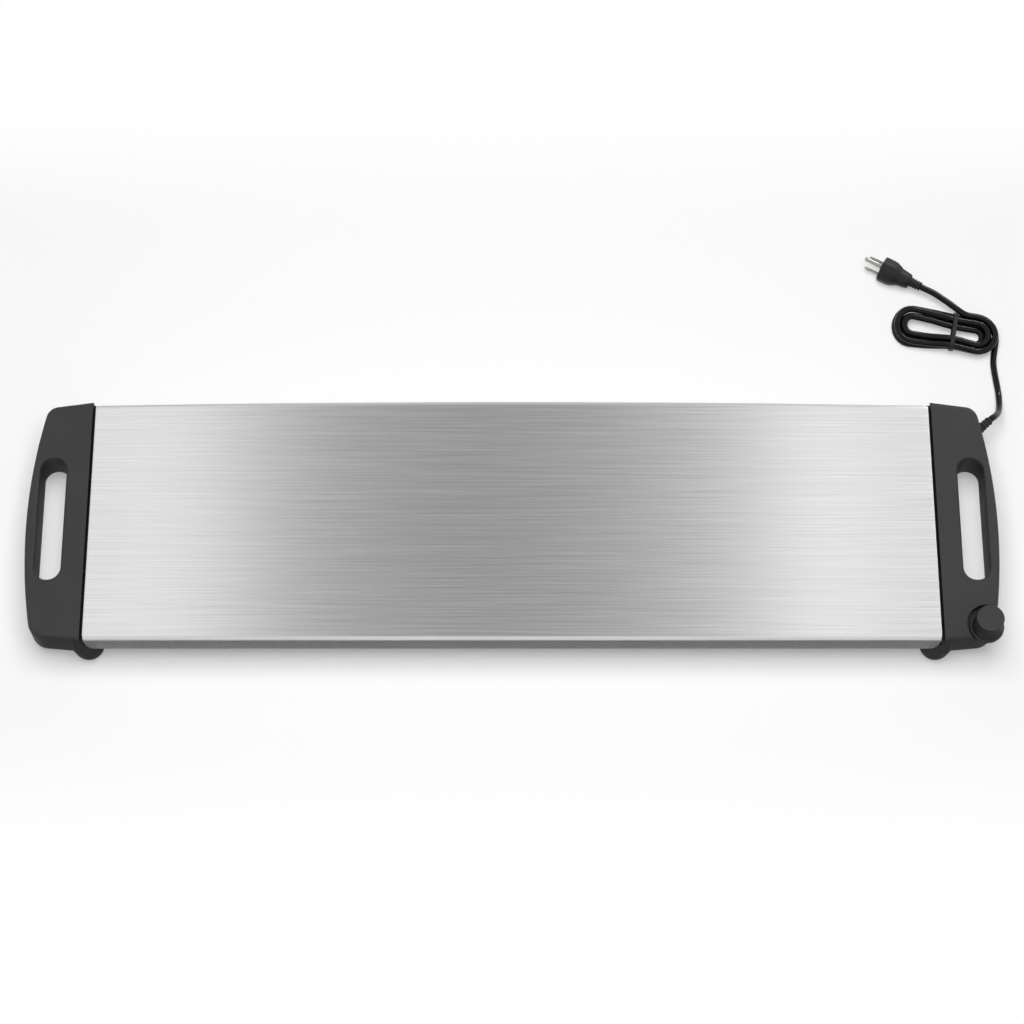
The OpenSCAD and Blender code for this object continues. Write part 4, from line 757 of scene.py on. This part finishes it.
# ---------- Heater ----------
# An aluminium sheet under the steel spreads the heat of a tubular element clamped below it, over a board
# of mineral fibre. The cut-off, the thermostat and the terminal block have ceramic bodies.

# Rolled aluminium: pale and bright, with soft streaks along the sheet, drawn 1.4 mm wide.
rolled_aluminium, tree = finish_of("rolled_aluminium_sheet")
where = add(tree, "TexCoord")
roll = add(tree, "Mapping", {"Scale": (20, 700, 700)}, {"Vector": where.outputs["Object"]})
marks = add(tree, "TexNoise", {"Scale": 1, "Detail": 3}, {"Vector": roll})
rough = add(tree, "MapRange", {"To Min": 0.26, "To Max": 0.44}, {"Value": marks})
end_with(tree, add(tree, "BsdfPrincipled", {"Base Color": linear("#d9dadb"), "Metallic": 1},
                   {"Roughness": rough.outputs[0]}))
dress(rolled_aluminium, "heat_spreader")

# The element's steel sheath: gone a dull brown-grey with heat, in clouds of about 17 mm.
heated_steel, tree = finish_of("heat_tinted_steel_sheath")
where = add(tree, "TexCoord")
scale = add(tree, "TexNoise", {"Scale": 60, "Detail": 5}, {"Vector": where.outputs["Object"]})
tone = add(tree, "ValToRGB", None, {"Fac": scale})
tone.color_ramp.elements[0].color = linear("#4b4640")
tone.color_ramp.elements[1].color = linear("#7a746c")
end_with(tree, add(tree, "BsdfPrincipled", {"Metallic": 1, "Roughness": 0.5}, {"Base Color": tone}))
dress(heated_steel, "heating_element")

# Pressed mineral fibre: a dry, dull straw colour with fibres drawn 1.1 mm thick.
mineral_wool, tree = finish_of("pressed_mineral_fibre")
where = add(tree, "TexCoord")
fibres = add(tree, "TexNoise", {"Scale": 900, "Detail": 6, "Distortion": 1.5},
             {"Vector": where.outputs["Object"]})
tone = add(tree, "ValToRGB", None, {"Fac": fibres})
tone.color_ramp.elements[0].color = linear("#b5a985")
tone.color_ramp.elements[1].color = linear("#ded5b8")
bump = add(tree, "Bump", {"Strength": 0.6, "Distance": 0.0004}, {"Height": fibres})
end_with(tree, add(tree, "BsdfPrincipled", {"Roughness": 0.95}, {"Base Color": tone, "Normal": bump}))
dress(mineral_wool, "insulation_board")

# Steatite: off-white, semi-matt fired ceramic with sparse darker specks of 1 mm.
steatite, tree = finish_of("fired_steatite")
where = add(tree, "TexCoord")
speck = add(tree, "TexNoise", {"Scale": 1000, "Detail": 2}, {"Vector": where.outputs["Object"]})
tone = add(tree, "ValToRGB", None, {"Fac": speck})
tone.color_ramp.elements[0].position, tone.color_ramp.elements[0].color = 0.28, linear("#b9b2a0")
tone.color_ramp.elements[1].position, tone.color_ramp.elements[1].color = 0.4, linear("#e8e3d6")
end_with(tree, add(tree, "BsdfPrincipled", {"Roughness": 0.4, "IOR": 1.58}, {"Base Color": tone}))
dress(steatite, "thermal_cutoff", "thermostat_body", "terminal_block")

# ---------- Spindle and earth screw ----------
# The thermostat's spindle carries the knob, and the earth screw holds the green wire to the bracket.
# Both are turned from brass rod.

# Turned brass: warm yellow, with fine tool rings that are drawn 1 mm apart up the spindle.
turned_brass, tree = finish_of("turned_brass")
where = add(tree, "TexCoord")
rings_of_tool = add(tree, "TexWave", {"bands_direction": "Z", "Scale": 320, "Distortion": 0.5},
                    {"Vector": where.outputs["Object"]})
rough = add(tree, "MapRange", {"To Min": 0.24, "To Max": 0.38}, {"Value": rings_of_tool.outputs["Fac"]})
end_with(tree, add(tree, "BsdfPrincipled", {"Base Color": linear("#d2b56c"), "Metallic": 1},
                   {"Roughness": rough.outputs[0]}))
dress(turned_brass, "spindle", "earth_screw")

# ---------- Inner wires ----------
# Leads insulated with silicone, red, white and green, run from the terminal block into the casing, and
# the cord's three cores run to it in black fibreglass sleeve. Both coverings are dull, with a powdery
# bloom of 1.3 mm.
for name, dark, light, nodes in (("red_silicone", "#6e1712", "#8d211a", ["wire_live"]),
                                 ("white_silicone", "#c9c8c2", "#e2e1dc", ["wire_neutral"]),
                                 ("green_silicone", "#24601f", "#2f7a2a", ["wire_earth"]),
                                 ("black_fibreglass_sleeve", "#141415", "#29292b", ["cord_cores"])):
    cover, tree = finish_of(name)
    where = add(tree, "TexCoord")
    powder = add(tree, "TexNoise", {"Scale": 800, "Detail": 3}, {"Vector": where.outputs["Object"]})
    tone = add(tree, "ValToRGB", None, {"Fac": powder})
    tone.color_ramp.elements[0].color = linear(dark)
    tone.color_ramp.elements[1].color = linear(light)
    end_with(tree, add(tree, "BsdfPrincipled", {"Roughness": 0.5, "IOR": 1.43}, {"Base Color": tone}))
    dress(cover, *nodes)

# ---------- Floor and light ----------
# A white table that fades to the plain white round it, under one broad softbox. What the brushed steel
# reflects is a second, graded panel above it, bright at both ends and darker in the middle.


def card(name, corners):
    """A flat four-cornered part of the set, which isn't part of the object."""
    mesh = bpy.data.meshes.new(name)
    mesh.from_pydata(corners, [], [(0, 1, 2, 3)])
    made = bpy.data.objects.new(name, mesh)
    bpy.context.collection.objects.link(made)
    return made


floor = card("studio_table", [(-12, -12, 0), (12, -12, 0), (12, 12, 0), (-12, 12, 0)])

# Matt white paper: it takes the tray's shadow, lifted by 30 % so that it stays as light as on a bright
# table, and turns to plain white from 2 to 20 cm outside the tray's surroundings.
paper, tree = finish_of("white_table_paper")
where = add(tree, "TexCoord")
apart = add(tree, "SeparateXYZ", None, {0: where.outputs["Object"]})
out_x = add(tree, "Math", {"operation": "ABSOLUTE"}, {0: apart.outputs[0]})
out_x = add(tree, "Math", {"operation": "SUBTRACT", 1: 0.5, "use_clamp": True}, {0: out_x})
out_y = add(tree, "Math", {"operation": "SUBTRACT", 1: 0.09}, {0: apart.outputs[1]})
out_y = add(tree, "Math", {"operation": "ABSOLUTE"}, {0: out_y})
out_y = add(tree, "Math", {"operation": "SUBTRACT", 1: 0.24, "use_clamp": True}, {0: out_y})
away = add(tree, "Math", {"operation": "MAXIMUM"}, {0: out_x, 1: out_y})
fade = add(tree, "MapRange", {"interpolation_type": "SMOOTHSTEP", "From Min": 0.02, "From Max": 0.2},
           {"Value": away})
rays = add(tree, "LightPath")
seen = add(tree, "Math", {"operation": "MAXIMUM"},
           {0: rays.outputs["Is Camera Ray"], 1: rays.outputs["Is Transmission Ray"]})
plain = add(tree, "Math", {"operation": "MULTIPLY"}, {0: fade.outputs[0], 1: seen})
table_white = add(tree, "BsdfDiffuse", {"Color": (0.93, 0.93, 0.93, 1)})
bare_white = add(tree, "Emission", {"Strength": 1})
lifted = add(tree, "MapRange", {"To Min": 0.3}, {"Value": plain})
lifted = add(tree, "Math", {"operation": "MULTIPLY"}, {0: lifted.outputs[0], 1: seen})
end_with(tree, add(tree, "MixShader", None, {0: lifted, 1: table_white, 2: bare_white}))
floor.data.materials.append(paper)

# The softbox lights the set evenly from above, and reflections leave it out.
softbox = card("overhead_softbox", [(-0.9, -1, 2.56), (-0.9, 1, 2.56), (0.9, 1, 2.56), (0.9, -1, 2.56)])
cloth, tree = finish_of("softbox_cloth")
end_with(tree, add(tree, "Emission", {"Strength": 6.2}))
softbox.data.materials.append(cloth)
softbox.visible_camera = softbox.visible_glossy = False

# The graded panel is seen in reflections alone. Its levels run from left to right.
panel = card("graded_panel", [(-2, 0, 2.57), (-2, 2, 2.57), (2, 2, 2.57), (2, 0, 2.57)])
graded, tree = finish_of("panel_lit_from_both_ends")
where = add(tree, "TexCoord")
apart = add(tree, "SeparateXYZ", None, {0: where.outputs["Object"]})
across = add(tree, "MapRange", {"From Min": -2, "From Max": 2}, {"Value": apart.outputs[0]})
level = add(tree, "ValToRGB", None, {"Fac": across.outputs[0]})
ramp = level.color_ramp
ramp.interpolation = "CARDINAL"
stops = [(0, 0.7), (0.27, 0.75), (0.33, 0.89), (0.385, 0.4), (0.475, 0.22), (0.56, 0.32), (0.62, 0.58),
         (0.656, 1), (0.7, 0.62), (1, 0.6)]
for place, value in stops[1:-1]:
    ramp.elements.new(place)
for stop, (place, value) in zip(sorted(ramp.elements, key=lambda e: e.position), stops):
    stop.position, stop.color = place, (value, value, value, 1)
end_with(tree, add(tree, "Emission", {"Strength": 1.55}, {"Color": level}))
panel.data.materials.append(graded)
panel.visible_camera = panel.visible_diffuse = panel.visible_shadow = False

# Cards stand round the set, seen only in reflections, and draw the edges of metal and plastic. A dark
# flag on the table keeps the plate's front wall grey, and a small bright card gives the cord its streak.
for name, strength, corners in (
        ("low_flag", 0.2,
         [(-0.6, -0.5, 0.002), (0.6, -0.5, 0.002), (0.6, -0.137, 0.002), (-0.6, -0.137, 0.002)]),
        ("front_card", 1, [(-3, -3, 0.02), (3, -3, 0.02), (3, -1.5, 2.7), (-3, -1.5, 2.7)]),
        ("rear_card", 0.8, [(-3, 4, 0.02), (3, 4, 0.02), (3, 4, 2.5), (-3, 4, 2.5)]),
        ("left_card", 1.2, [(-3, -2.4, 0.02), (-3, 4, 0.02), (-3, 4, 2.5), (-3, -2.4, 2.5)]),
        ("right_card", 1.2, [(3, -2.4, 0.02), (3, 4, 0.02), (3, 4, 2.5), (3, -2.4, 2.5)]),
        ("cord_light", 40, [(1.2, 3.1, 2.5), (2.6, 3.1, 2.5), (2.6, 3.7, 2.5), (1.2, 3.7, 2.5)])):
    flag = card(name, corners)
    cloth, tree = finish_of(name + "_cloth")
    end_with(tree, add(tree, "Emission", {"Strength": strength}))
    flag.data.materials.append(cloth)
    flag.visible_camera = flag.visible_diffuse = flag.visible_shadow = False

# The air adds a little even fill, and is plain white wherever it is seen.
world = bpy.data.worlds.new("studio_air")
bpy.context.scene.world = world
world.use_nodes = True
tree = world.node_tree
tree.nodes.clear()
rays = add(tree, "LightPath")
seen = add(tree, "Math", {"operation": "MAXIMUM"},
           {0: rays.outputs["Is Camera Ray"], 1: rays.outputs["Is Glossy Ray"]})
seen = add(tree, "Math", {"operation": "MAXIMUM"}, {0: seen, 1: rays.outputs["Is Transmission Ray"]})
soft_fill = add(tree, "Background", {"Color": (1, 1, 1, 1), "Strength": 0.15})
plain_white = add(tree, "Background", {"Color": (1, 1, 1, 1), "Strength": 1})
mixed = add(tree, "MixShader", None, {0: seen, 1: soft_fill, 2: plain_white})
tree.links.new(mixed.outputs[0], tree.nodes.new("ShaderNodeOutputWorld").inputs[0])

bpy.context.scene.view_settings.view_transform = "Standard"
